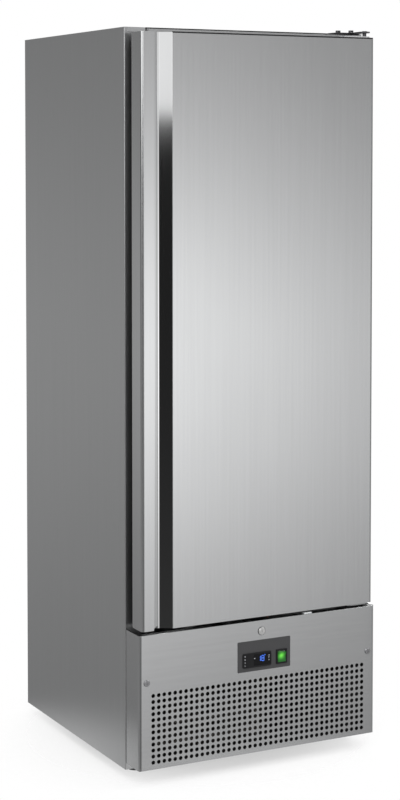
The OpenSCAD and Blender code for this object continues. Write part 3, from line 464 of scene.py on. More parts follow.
@dataclass(frozen=True)
class Moulding(Finish):
    """Moulded plastic or rubber with a fine eroded texture."""

    name: str
    tone: Colour
    roughness: float = 0.42
    texture: float = 0.15
    gloss: float = 0.5

    def shade(self, graph: Graph) -> dict[str, Any]:
        """A fine texture in the height and a slow change in the gloss.

        Args:
            graph: The material's nodes.

        Returns:
            The values and links of the shader's sockets.
        """
        grain = graph.noise((1500.0,) * 3, detail=1.0)
        slow = graph.noise((34.0,) * 3, detail=3.0)
        return {
            "Base Color": graph.mix(slow, self.tone, tint(self.tone, 1.08, 0.002)),
            "Roughness": (slow - 0.5) * 0.12 + self.roughness,
            "Specular IOR Level": self.gloss,
            "Normal": graph.bump(grain, self.texture, 0.05 * MM),
        }


@dataclass(frozen=True)
class Foam(Finish):
    """Rigid foam with small cells."""

    name: str
    tone: Colour

    def shade(self, graph: Graph) -> dict[str, Any]:
        """Cells show in the height and the tone.

        Args:
            graph: The material's nodes.

        Returns:
            The values and links of the shader's sockets.
        """
        cells = graph.cells(700.0, "Distance")
        return {
            "Base Color": graph.mix(cells, tint(self.tone, 0.8), self.tone),
            "Roughness": 0.9,
            "Normal": graph.bump(cells, 0.5, 0.3 * MM),
        }


@dataclass(frozen=True)
class Glow(Finish):
    """A figure or mark that shines by itself."""

    name: str
    tone: Colour
    strength: float

    def shade(self, graph: Graph) -> dict[str, Any]:
        """The light varies a little along a segment, as a lamp behind it would make it.

        Args:
            graph: The material's nodes.

        Returns:
            The values and links of the shader's sockets.
        """
        uneven = graph.noise((260.0,) * 3, detail=1.0)
        return {
            "Base Color": self.tone,
            "Roughness": 0.4,
            "Emission Color": graph.mix(uneven, self.tone, tint(self.tone, 1.0, 0.25)),
            "Emission Strength": self.strength,
        }


@dataclass(frozen=True)
class LitLens(Finish):
    """A translucent lens with a small lamp behind its left half."""

    name: str
    tone: Colour
    unlit: Colour
    glow: Colour
    lamp: tuple[float, float]
    reach: float = 7.0 * MM

    def shade(self, graph: Graph) -> dict[str, Any]:
        """The glow falls off round the lamp's place behind the lens.

        Args:
            graph: The material's nodes.

        Returns:
            The values and links of the shader's sockets.
        """
        shift = (-self.lamp[0] / self.reach, 0.0, -self.lamp[1] / self.reach)
        scale = (1 / self.reach, 0.0, 1 / self.reach)
        near = graph.away(graph.place(scale, shift)).bell(0.0, 1.0)
        ribs = graph.noise((1500.0, 300.0, 1500.0), detail=1.0)
        return {
            "Base Color": self.tone,
            "Roughness": (ribs - 0.5) * 0.1 + 0.22,
            "Emission Color": graph.mix(near, self.unlit, self.glow),
            "Emission Strength": 1.0,
            "Specular IOR Level": 0.2,
        }


class Finishes(Enum):
    """Every finish on the cabinet: first those of the record's slots, by their names."""

    SIDE_STEEL = BrushedSteel("side_steel_grain", (0.42, 0.424, 0.428), 0.3, Axis.Z)
    TOP_STEEL = BrushedSteel("top_steel_grain", (0.44, 0.444, 0.448), 0.32, Axis.X)
    DOOR_STEEL = BrushedSteel("door_steel_grain", (0.47, 0.474, 0.478), 0.16, Axis.Z)
    PANEL_STEEL = BrushedSteel("panel_steel_grain", (0.45, 0.454, 0.458), 0.16, Axis.X)
    RECESS_STEEL = PolishedSteel("recess_polished", (0.7, 0.705, 0.71), 0.05, Axis.Z)
    HINGE_STEEL = PolishedSteel("plated_steel", (0.34, 0.345, 0.35), 0.28, Axis.X)
    LOCK_CHROME = PolishedSteel("lock_nickel", (0.6, 0.6, 0.595), 0.3, Axis.X)
    COPPER_PIPE = PolishedSteel("copper_tube", (0.62, 0.33, 0.2), 0.3, Axis.Z)
    FIN_METAL = BrushedSteel("bare_fins", (0.6, 0.605, 0.61), 0.34, Axis.Z)
    GALVANISED = ZincPlate("galvanised_sheet", (0.5, 0.52, 0.54), 0.42)
    BLACK_PAINT = Paint("black_enamel", (0.018, 0.018, 0.02), 0.38)
    WHITE_LINER = Paint("white_liner_gloss", (0.78, 0.8, 0.81), 0.25, 0.05)
    SHELF_COAT = Paint("coated_wire", (0.7, 0.71, 0.72), 0.3, 0.05)
    CONDENSER_METAL = Paint("dull_fins", (0.12, 0.11, 0.1), 0.55)
    MOTOR_PAINT = Paint("motor_enamel", (0.05, 0.05, 0.055), 0.4)
    GREY_PLASTIC = Moulding("grey_moulding", (0.45, 0.47, 0.48), 0.45)
    PLATE_GREY = Moulding("plate_film", (0.055, 0.055, 0.057), 0.5, 0.06, 0.25)
    BLACK_PLASTIC = Moulding("black_moulding", (0.008, 0.008, 0.009), gloss=0.2)
    WINDOW = Moulding("dark_window", (0.004, 0.004, 0.005), 0.12, 0.02, 0.15)
    KEY_PLASTIC = Moulding("key_moulding", (0.02, 0.02, 0.021), 0.5, 0.15, 0.25)
    GASKET_RUBBER = Moulding("soft_gasket", (0.012, 0.012, 0.013), 0.6, 0.15, 0.2)
    BUSH_PLASTIC = Moulding("bush_acetal", (0.72, 0.72, 0.68), 0.4)
    FAN_PLASTIC = Moulding("fan_blades", (0.05, 0.05, 0.055), 0.45)
    RUBBER_BLACK = Moulding("moulded_rubber", (0.012, 0.012, 0.012), 0.75)
    FOOT_PLASTIC = Moulding("foot_moulding", (0.03, 0.03, 0.032), 0.5)
    ROLLER_PLASTIC = Moulding("roller_nylon", (0.68, 0.68, 0.64), 0.5)
    FOAM = Foam("rigid_foam", (0.82, 0.72, 0.45))
    GREEN_LENS = LitLens(
        "lit_green_lens",
        tone=(0.008, 0.09, 0.012),
        unlit=(0.003, 0.03, 0.003),
        glow=(0.17, 0.78, 0.08),
        lamp=(57.5 * MM, 280 * MM),
    )
    # These are worn by single pieces in place of their slot's finish
    BRIGHT = PolishedSteel("bright_plating", (0.75, 0.755, 0.76), 0.25, Axis.X)
    BLUED = PolishedSteel("dark_plating", (0.07, 0.07, 0.073), 0.35, Axis.X)
    SCREW = PolishedSteel("screw_steel", (0.3, 0.3, 0.31), 0.3, Axis.X)
    # Near black zinc, painted shade on the tray and brackets seen through the vents
    TRAY = ZincPlate("shaded_zinc", (0.05, 0.052, 0.054), 0.5)
    FIGURES = Glow("blue_figures", (0.015, 0.16, 1.0), 1.0)
    MARKS = Glow("pale_marks", (0.5, 0.52, 0.55), 0.6)

    @classmethod
    def of_slot(cls, slot: str) -> "Finishes":
        """Returns the finish of a material slot of the record."""
        return cls[slot.upper()]

    @property
    def material(self) -> bpy.types.Material:
        """The material of this finish."""
        return self.value.material()


class Workpiece:
    """One mesh on the bench: it starts as a primitive and is shaped in edit mode."""

    def __init__(self, name: str, scale: Point = (1.0, 1.0, 1.0)) -> None:
        """Takes the primitive that was just added and settles its place in its mesh.

        Args:
            name: The piece's name.
            scale: The size that is given to a primitive of one metre.
        """
        self.object = bpy.context.object
        self.object.name = name
        self.object.data.name = name
        self.object.scale = scale
        bpy.ops.object.transform_apply(location=True, rotation=True, scale=True)

    @staticmethod
    def clear() -> None:
        """Leaves edit mode and deselects everything."""
        if bpy.context.object is not None and bpy.context.object.mode != "OBJECT":
            bpy.ops.object.mode_set(mode="OBJECT")
        bpy.ops.object.select_all(action="DESELECT")

    @classmethod
    def block(cls, name: str, box: Box) -> "Workpiece":
        """Adds a cube.

        Args:
            name: The piece's name.
            box: The room that it fills.

        Returns:
            The new workpiece.
        """
        cls.clear()
        bpy.ops.mesh.primitive_cube_add(size=1.0, location=box.middle)
        return cls(name, box.size)

    @classmethod
    def panel(cls, name: str, box: Box) -> "Workpiece":
        """Adds a flat panel.

        Args:
            name: The piece's name.
            box: A box with no depth along one axis.

        Returns:
            The new workpiece, a single face.
        """
        cls.clear()
        wide, deep, high = box.size
        axis = min(Axis, key=lambda each: abs(box.size[each.value]))
        scale = {Axis.X: (high, deep), Axis.Y: (wide, high), Axis.Z: (wide, deep)}[axis]
        bpy.ops.mesh.primitive_plane_add(size=1.0, location=box.middle, rotation=axis.turn)
        return cls(name, (*scale, 1.0))

    @classmethod
    def rod(
        cls,
        name: str,
        start: Point,
        length: float,
        radius: float,
        sides: int = 48,
        axis: Axis = Axis.Y,
    ) -> "Workpiece":
        """Adds a cylinder from a point along an axis.

        Args:
            name: The piece's name.
            start: The middle of the cylinder's lower end.
            length: Its length.
            radius: Its radius.
            sides: The number of its sides.
            axis: The axis that it follows.

        Returns:
            The new workpiece.
        """
        cls.clear()
        middle = Vector(start)
        middle[axis.value] += length / 2
        bpy.ops.mesh.primitive_cylinder_add(
            vertices=sides, radius=radius, depth=length, location=middle, rotation=axis.turn
        )
        return cls(name)

    @classmethod
    def traced(cls, name: str, source: bpy.types.Object) -> "Workpiece":
        """Copies a node's mesh, merges its loose triangles and joins those that lie flat.

        Args:
            name: The piece's name.
            source: The node's object, which stays as it is.

        Returns:
            The new workpiece.
        """
        cls.clear()
        copied = bpy.data.objects.new(name, source.data.copy())
        bpy.context.scene.collection.objects.link(copied)
        copied.select_set(True)
        bpy.context.view_layer.objects.active = copied
        piece = cls(name)
        piece.grab(Pick.VERTS)
        bpy.ops.mesh.remove_doubles(threshold=NEAR)
        bpy.ops.mesh.dissolve_limited(angle_limit=math.radians(0.6))
        piece.clear()
        return piece

    @staticmethod
    def merged(name: str, parts: Sequence["Workpiece"]) -> "Workpiece":
        """Joins pieces into the first of them.

        Args:
            name: The name of the whole.
            parts: The pieces.

        Returns:
            The whole.
        """
        whole, *others = parts
        whole.join(*others)
        whole.object.name = name
        return whole

    def activate(self) -> None:
        """Selects the piece, and nothing else, in object mode."""
        self.clear()
        self.object.select_set(True)
        bpy.context.view_layer.objects.active = self.object

    def edit(self, kind: Pick) -> None:
        """Enters edit mode with nothing selected.

        Args:
            kind: What is going to be selected.
        """
        if self.object.mode != "EDIT":
            self.activate()
            bpy.ops.object.mode_set(mode="EDIT")
        bpy.ops.mesh.select_mode(type=kind.value)
        bpy.ops.mesh.select_all(action="DESELECT")

    def grab(self, kind: Pick) -> None:
        """Enters edit mode with everything selected."""
        self.edit(kind)
        bpy.ops.mesh.select_all(action="SELECT")

    def pick(self, kind: Pick, test: Test, whole: bool = True) -> None:
        """Selects what passes a test, in edit mode.

        Args:
            kind: What is selected.
            test: The test, given a point in the frame.
            whole: True if each corner has to pass, False if the middle has to.
        """
        self.edit(kind)
        mesh = bmesh.from_edit_mesh(self.object.data)
        groups = {Pick.VERTS: mesh.verts, Pick.EDGES: mesh.edges, Pick.FACES: mesh.faces}
        chosen = []
        for element in groups[kind]:
            corners = [element] if kind is Pick.VERTS else element.verts
            points = [corner.co for corner in corners]
            if not whole:
                points = [sum(points, Vector()) / len(points)]
            if all(test(point) for point in points):
                chosen.append(element)
        self._mark(mesh, chosen)

    def rim(self, test: Test) -> None:
        """Selects the open edges whose two ends pass a test.

        Args:
            test: The test, given a point in the frame.
        """
        self.edit(Pick.EDGES)
        mesh = bmesh.from_edit_mesh(self.object.data)
        open_edges = [edge for edge in mesh.edges if edge.is_boundary]
        passed = [edge for edge in open_edges if all(test(corner.co) for corner in edge.verts)]
        self._mark(mesh, passed)

    def _mark(self, mesh: bmesh.types.BMesh, chosen: Iterable[Any]) -> None:
        """Selects elements of the mesh that is edited.

        Args:
            mesh: The mesh.
            chosen: Its elements.
        """
        for element in chosen:
            element.select_set(True)
        mesh.select_flush_mode()
        bmesh.update_edit_mesh(self.object.data)

    def draw_out(self, by: Point) -> None:
        """Extrudes the selection and moves what is new."""
        bpy.ops.mesh.extrude_region_move(TRANSFORM_OT_translate={"value": tuple(by)})

    def round_off(self, width: float, steps: int) -> None:
        """Bevels the selected edges into arcs.

        Args:
            width: How much of each side an arc takes up.
            steps: The number of its facets.
        """
        bpy.ops.mesh.bevel(
            offset=width, segments=steps, profile=0.5, affect="EDGES", clamp_overlap=False
        )

    def hollow(self, margin: float) -> None:
        """Leaves only a margin of the selected face."""
        bpy.ops.mesh.inset(thickness=margin, depth=0.0, use_even_offset=True)
        bpy.ops.mesh.delete(type="FACE")

    def use(self, kind: str, **settings: Any) -> None:
        """Adds a modifier and applies it.

        Args:
            kind: The modifier's type.
            settings: Its settings.
        """
        self.activate()
        modifier = self.object.modifiers.new(kind.lower(), kind)
        for name, value in settings.items():
            setattr(modifier, name, value)
        bpy.ops.object.modifier_apply(modifier=modifier.name)

    def thicken(self, thickness: float) -> None:
        """Gives a sheet its thickness, behind its faces."""
        self.use("SOLIDIFY", thickness=thickness, offset=-1.0, use_even_offset=True)

    def ease(self, width: float, steps: int = 2, angle: float = 40.0) -> None:
        """Rounds every edge that is sharper than an angle.

        Args:
            width: How much of each side the round takes up.
            steps: The number of its facets.
            angle: The angle, in degrees.
        """
        self.use(
            "BEVEL",
            width=width,
            segments=steps,
            limit_method="ANGLE",
            angle_limit=math.radians(angle),
            use_clamp_overlap=True,
        )

    def cut(self, *tools: "Workpiece") -> None:
        """Takes tools away from the piece and deletes them.

        Args:
            tools: The tools.
        """
        for tool in tools:
            self.use("BOOLEAN", operation="DIFFERENCE", solver="EXACT", object=tool.object)
            bpy.data.objects.remove(tool.object)

    def outwards(self) -> None:
        """Merges doubles and points every face outwards."""
        self.grab(Pick.VERTS)
        bpy.ops.mesh.remove_doubles(threshold=NEAR)
        bpy.ops.mesh.normals_make_consistent(inside=False)
        self.clear()

    def face(self, way: Point) -> None:
        """Turns an open sheet's faces so that most of them look one way.

        Args:
            way: The direction.
        """
        self.grab(Pick.FACES)
        bpy.ops.mesh.normals_make_consistent(inside=False)
        mesh = bmesh.from_edit_mesh(self.object.data)
        if sum(face.normal.dot(Vector(way)) * face.calc_area() for face in mesh.faces) < 0:
            bpy.ops.mesh.flip_normals()
        self.clear()

    def join(self, *others: "Workpiece") -> None:
        """Joins other workpieces into this one.

        Args:
            others: The others.
        """
        self.activate()
        for other in others:
            other.object.select_set(True)
        bpy.ops.object.join()

    def copy(self, name: str, shift: Point) -> "Workpiece":
        """Copies the piece with its own mesh.

        Args:
            name: The copy's name.
            shift: How far the copy is moved.

        Returns:
            The copy.
        """
        self.activate()
        bpy.ops.object.duplicate_move(TRANSFORM_OT_translate={"value": tuple(shift)})
        return Workpiece(name)

    def dress(
        self,
        finish: Finishes,
        body: str,
        *replaces: str,
        slot: Optional[str] = None,
        smooth: float = 35.0,
    ) -> None:
        """Finishes the piece: shading, material, body and the nodes that it stands for.

        Args:
            finish: The finish that it wears.
            body: The body that it rides on.
            replaces: The nodes that it replaces.
            slot: The record's material slot, if it isn't the one of the finish's name; it is not
                used.
            smooth: The sharpest angle that is shaded smooth, in degrees.
        """
        self.activate()
        bpy.ops.object.shade_smooth_by_angle(angle=math.radians(smooth))
        # Keeps flat faces flat beside their eased edges
        self.use("WEIGHTED_NORMAL", keep_sharp=True, weight=100)
        self.object.data.materials.clear()
        self.object.data.materials.append(finish.material)
        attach(self.object, body)
        slot = slot or finish.name.lower()
        if replaces:
            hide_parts(*replaces)
        self.clear()
        log.info("%s: %d faces", self.object.name, len(self.object.data.polygons))


@dataclass(frozen=True)
class Bend:
    """A corner of a folded sheet in plan: its place and the radius of its bend."""

    x: float
    y: float
    radius: float = 0.0
    steps: int = 4

    def here(self, point: Vector) -> bool:
        """Returns whether a point lies above or below this corner."""
        return math.hypot(point.x - self.x, point.y - self.y) < NEAR

    def way(self, other: "Bend") -> Vector:
        """Returns the way from this corner to another."""
        return Vector((other.x - self.x, other.y - self.y))


def fold_sheet(
    name: str, bends: Sequence[Bend], low: float, high: float, thickness: float
) -> Workpiece:
    """Folds an upright sheet along corners seen from above, each fold as an arc.

    Args:
        name: The piece's name.
        bends: The corners in order; the first and the last are the sheet's ends.
        low: The height of the sheet's lower edge.
        high: The height of its upper edge.
        thickness: The sheet's thickness, which lies to the left of its direction.

    Returns:
        The folded sheet as a closed shell.
    """
    first, second = bends[:2]
    along = first.way(second)
    Workpiece.clear()
    bpy.ops.mesh.primitive_plane_add(
        size=1.0,
        location=((first.x + second.x) / 2, (first.y + second.y) / 2, (low + high) / 2),
        rotation=(QUARTER, 0.0, math.atan2(along.y, along.x)),
    )
    piece = Workpiece(name, (along.length, high - low, 1.0))
    for start, end in zip(bends[1:], bends[2:]):
        piece.rim(start.here)
        piece.draw_out((*start.way(end), 0.0))
    for before, corner, after in zip(bends, bends[1:], bends[2:]):
        if corner.radius:
            turn = before.way(corner).angle(corner.way(after))
            piece.pick(Pick.EDGES, corner.here)
            piece.round_off(corner.radius * math.tan(turn / 2), corner.steps)
    piece.thicken(thickness)
    piece.outwards()
    return piece


@dataclass
class Carcass:
    """The outer sheets of the foamed box."""

    body: str = "cabinet"
    bend: float = 2 * MM
    sheet: float = 1 * MM
    rear_return: float = 20 * MM
    side_edge: float = 0.25 * MM
    top_edge: float = 0.2 * MM
    header_bend: float = 1.4 * MM
    # The dark strip along the header paints the shade under the roof's edge, and the dark block at
    # its end paints the blanking plate's shadow
    trim_proud: float = 1.2 * MM
    trim_gap: float = 0.5 * MM
    joint: float = 2.6 * MM
    joint_end: float = 8 * MM
    joint_fall: float = 0.02 * MM
    slot_edge: float = 0.1 * MM
    # The width and height of the dark block that paints the blanking plate's shadow
    slot: tuple[float, float] = (3.5 * MM, 8.5 * MM)
    rivet: float = 2 * MM
    rivet_round: float = 0.4 * MM
    rivet_place: tuple[float, float] = (7 * MM, 5.5 * MM)

    def build(self) -> None:
        """Makes both side panels, the top, and the dark strips on its front edge that paint shade.
        """
        self.side("side_panel_left", "left_side_sheet", LEFT)
        self.side("side_panel_right", "right_side_sheet", RIGHT)
        self.top()
        self.front_edge()

    def side(self, node: str, name: str, hand: int) -> None:
        """Folds one side panel: a front return, the side and a rear return.

        Args:
            node: The node that it stands for.
            name: The piece's name.
            hand: LEFT or RIGHT.
        """
        box = Box.of(node)
        outer, inner = (box.x0, box.x1) if hand == LEFT else (box.x1, box.x0)
        bends = [
            Bend(inner, box.y0),
            Bend(outer, box.y0, self.bend),
            Bend(outer, box.y1, self.bend),
            Bend(outer - hand * self.rear_return, box.y1),
        ]
        if hand == RIGHT:
            bends.reverse()
        piece = fold_sheet(name, bends, box.z0, box.z1, -self.sheet)
        piece.ease(self.side_edge)
        piece.dress(Finishes.SIDE_STEEL, self.body, node)

    def top(self) -> None:
        """Folds the top: a plate, a header between the stiles and a rear flange."""
        box = Box.of("top_panel")
        inner = -Box.of("side_panel_left").x1
        plate = Box(-inner, box.y0, box.z1, inner, box.y1, box.z1)
        piece = Workpiece.panel("top_sheet", plate)
        for hand in (LEFT, RIGHT):
            piece.rim(Axis.X.at(hand * inner))
            piece.draw_out((hand * (box.x1 - inner), 0.0, 0.0))
        for y, fall in ((box.y0, box.z0 - box.z1), (box.y1, -self.rear_return)):
            piece.rim(lambda p, place=y: abs(p.y - place) < NEAR and abs(p.x) < inner + NEAR)
            piece.draw_out((0.0, 0.0, fall))
        piece.pick(
            Pick.EDGES,
            lambda p: abs(p.z - box.z1) < NEAR
            and min(abs(p.y - box.y0), abs(p.y - box.y1)) < NEAR
            and abs(p.x) < inner + NEAR,
        )
        piece.round_off(self.header_bend, 3)
        piece.outwards()
        piece.thicken(self.sheet)
        piece.ease(self.top_edge, 1)
        piece.dress(Finishes.TOP_STEEL, self.body, "top_panel")

    def front_edge(self) -> None:
        """Adds a dark strip along the header, painted shade under the roof's edge, with a dark
        block, painted shadow of the blanking plate, and a rivet at its end.
        """
        box = Box.of("top_panel")
        start = Box.of("hinge_blank").x1 + self.trim_gap
        front, back, top = box.y0 - self.trim_proud, box.y0 + MM, box.z1
        wide, deep = self.slot
        low, high, end = top - self.joint, top - self.joint_fall, box.x1 - self.joint_end
        # A dark strip, painted shade under the roof's edge
        piece = Workpiece.block("roof_joint", Box(start, front, low, end, back, high))
        piece.dress(Finishes.GASKET_RUBBER, self.body)
        # A dark block at the strip's end, painted shadow of the blanking plate
        slot = Box(start, front, top - deep, start + wide, back, low - self.slot_edge)
        piece = Workpiece.block("header_slot", slot)
        piece.ease(self.slot_edge, 1)
        piece.dress(Finishes.GASKET_RUBBER, self.body)
        along, down = self.rivet_place
        place = (start + along, front - MM, top - down)
        rivet = Workpiece.rod("header_rivet", place, self.rivet, self.rivet, 24)
        rivet.ease(self.rivet_round, 3)
        rivet.dress(Finishes.SCREW, self.body, slot="hinge_steel")


@dataclass
class BasePanel:
    """The perforated panel under the door, with its two screws."""

    body: str = "cabinet"
    columns: int = 41
    rows: int = 12
    pitch: float = 15 * MM
    hole: float = 10 * MM
    hole_sides: int = 20
    lowest: float = 18 * MM
    corner: float = 8 * MM
    lip: float = 18 * MM
    lip_bend: float = 1.2 * MM
    relief: float = 1.2 * MM
    sheet: float = 1 * MM
    # The thickness and play of the dark strips that paint shade behind the vents
    foam: float = 1.5 * MM
    foam_play: float = 0.1 * MM
    screw: float = 8 * MM
    screw_round: float = 1.3 * MM
    screw_cross: tuple[float, float] = (3.6 * MM, 0.75 * MM)
    screw_depth: float = 1.3 * MM

    def build(self) -> None:
        """Makes the panel, the dark strips that paint shade behind its vents, and its screws."""
        box = Box.of("base_panel")
        piece = self.vents(box)
        self.flats(piece, box)
        self.folds(piece, box)
        piece.face((0.0, -1.0, 0.0))
        piece.thicken(self.sheet)
        piece.dress(Finishes.PANEL_STEEL, self.body, "base_panel")
        self.seals(box)
        self.screws(box)

    def vents(self, box: Box) -> Workpiece:
        """Makes the grid of vent holes from one square tile with a round hole.

        Args:
            box: The panel's box.

        Returns:
            The perforated middle of the panel.
        """
        first = Vector((-(self.columns - 1) / 2 * self.pitch, box.y0, box.z0 + self.lowest))
        half = self.pitch / 2
        tile = Workpiece.panel("base_sheet", Box.about(first, half, half, box.y0, box.y0))
        tile.grab(Pick.FACES)
        bpy.ops.mesh.delete(type="ONLY_FACE")
        bpy.ops.mesh.primitive_circle_add(
            vertices=self.hole_sides, radius=self.hole / 2, location=first, rotation=Axis.Y.turn
        )
        tile.grab(Pick.EDGES)
        bpy.ops.mesh.bridge_edge_loops()
        steps = ((self.columns, (self.pitch, 0.0, 0.0)), (self.rows, (0.0, 0.0, self.pitch)))
        for count, step in steps:
            tile.use(
                "ARRAY",
                count=count,
                use_relative_offset=False,
                use_constant_offset=True,
                constant_offset_displace=step,
                use_merge_vertices=True,
                merge_threshold=NEAR,
            )
        return tile

    def flats(self, piece: Workpiece, box: Box) -> None:
        """Draws the plain border out round the vents, up to the panel's corners.

        Args:
            piece: The perforated middle.
            box: The panel's box.
        """
        reach = self.columns / 2 * self.pitch
        low = box.z0 + self.lowest - self.pitch / 2
        high = low + self.rows * self.pitch
        for hand in (LEFT, RIGHT):
            piece.rim(Axis.X.at(hand * reach))
            piece.draw_out((hand * (box.x1 - reach), 0.0, 0.0))
        for edge, end in ((low, box.z0), (high, box.z1)):
            piece.rim(Axis.Z.at(edge))
            piece.draw_out((0.0, 0.0, end - edge))

    def folds(self, piece: Workpiece, box: Box) -> None:
        """Folds the sides round to the back, then the upper and lower lips.

        Args:
            piece: The flat panel.
            box: The panel's box.
        """
        for hand in (LEFT, RIGHT):
            piece.rim(Axis.X.at(hand * box.x1))
            piece.draw_out((0.0, box.y1 - box.y0, 0.0))
        piece.pick(
            Pick.EDGES, lambda p: abs(abs(p.x) - box.x1) < NEAR and abs(p.y - box.y0) < NEAR
        )
        piece.round_off(self.corner, 8)
        width = (box.x1 - self.relief) / box.x1
        for z in (box.z0, box.z1):
            piece.rim(lambda p, h=z: abs(p.z - h) < NEAR and p.y < box.y0 + self.corner + NEAR)
            piece.draw_out((0.0, 0.0, 0.0))
            bpy.ops.transform.resize(
                value=(width, 0.0, 1.0), center_override=(0.0, box.y0 + self.lip, z)
            )
            piece.pick(
                Pick.EDGES,
                lambda p, h=z: abs(p.z - h) < NEAR
                and abs(p.x) < box.x1 - self.corner / 2
                and abs(self.outline(p.x, box) - p.y) < 0.2 * MM,
            )
            piece.round_off(self.lip_bend, 3)

    def outline(self, x: float, box: Box) -> float:
        """Returns how far forward the panel's outline lies at a place across it."""
        inside = max(0.0, abs(x) - (box.x1 - self.corner))
        return box.y0 + self.corner - math.sqrt(max(0.0, self.corner**2 - inside**2))

    def seals(self, box: Box) -> None:
        """Adds dark strips inside the panel's sides and bottom, painted shade that keeps its vent
        holes dark.

        Args:
            box: The panel's box.
        """
        skin = self.sheet + self.foam_play
        room = box.inset(skin, skin).between(box.y0 + self.corner + MM, Box.of("base_tray").y0)
        floor = replace(room, z1=room.z0 + self.foam)
        left = replace(room, x1=room.x0 + self.foam)
        right = replace(room, x0=room.x1 - self.foam)
        # Dark strips inside the panel, painted shade that keeps the vent holes dark
        strips = [Workpiece.block("air_seal", strip) for strip in (floor, left, right)]
        piece = Workpiece.merged("air_seal", strips)
        piece.dress(Finishes.RUBBER_BLACK, self.body)

    def screws(self, panel: Box) -> None:
        """Makes a round-headed screw with a cross slot and copies it.

        Args:
            panel: The panel's box.
        """
        box = Box.of("panel_screws")
        middle = Vector((box.x0 + self.screw, box.y0, box.middle.z))
        head = Workpiece.rod("base_screw_left", middle, panel.y0 - box.y0, self.screw, 32)
        head.pick(Pick.EDGES, Axis.Y.at(box.y0))
        head.round_off(self.screw_round, 4)
        for arms in (self.screw_cross, self.screw_cross[::-1]):
            bar = Box.about(middle, *arms, box.y0 - CLEAR, box.y0 + self.screw_depth)
            head.cut(Workpiece.block("bar", bar))
        other = head.copy("base_screw_right", (box.x1 - box.x0 - 2 * self.screw, 0.0, 0.0))
        head.dress(Finishes.SCREW, self.body, "panel_screws", slot="hinge_steel")
        other.dress(Finishes.SCREW, self.body, slot="hinge_steel")


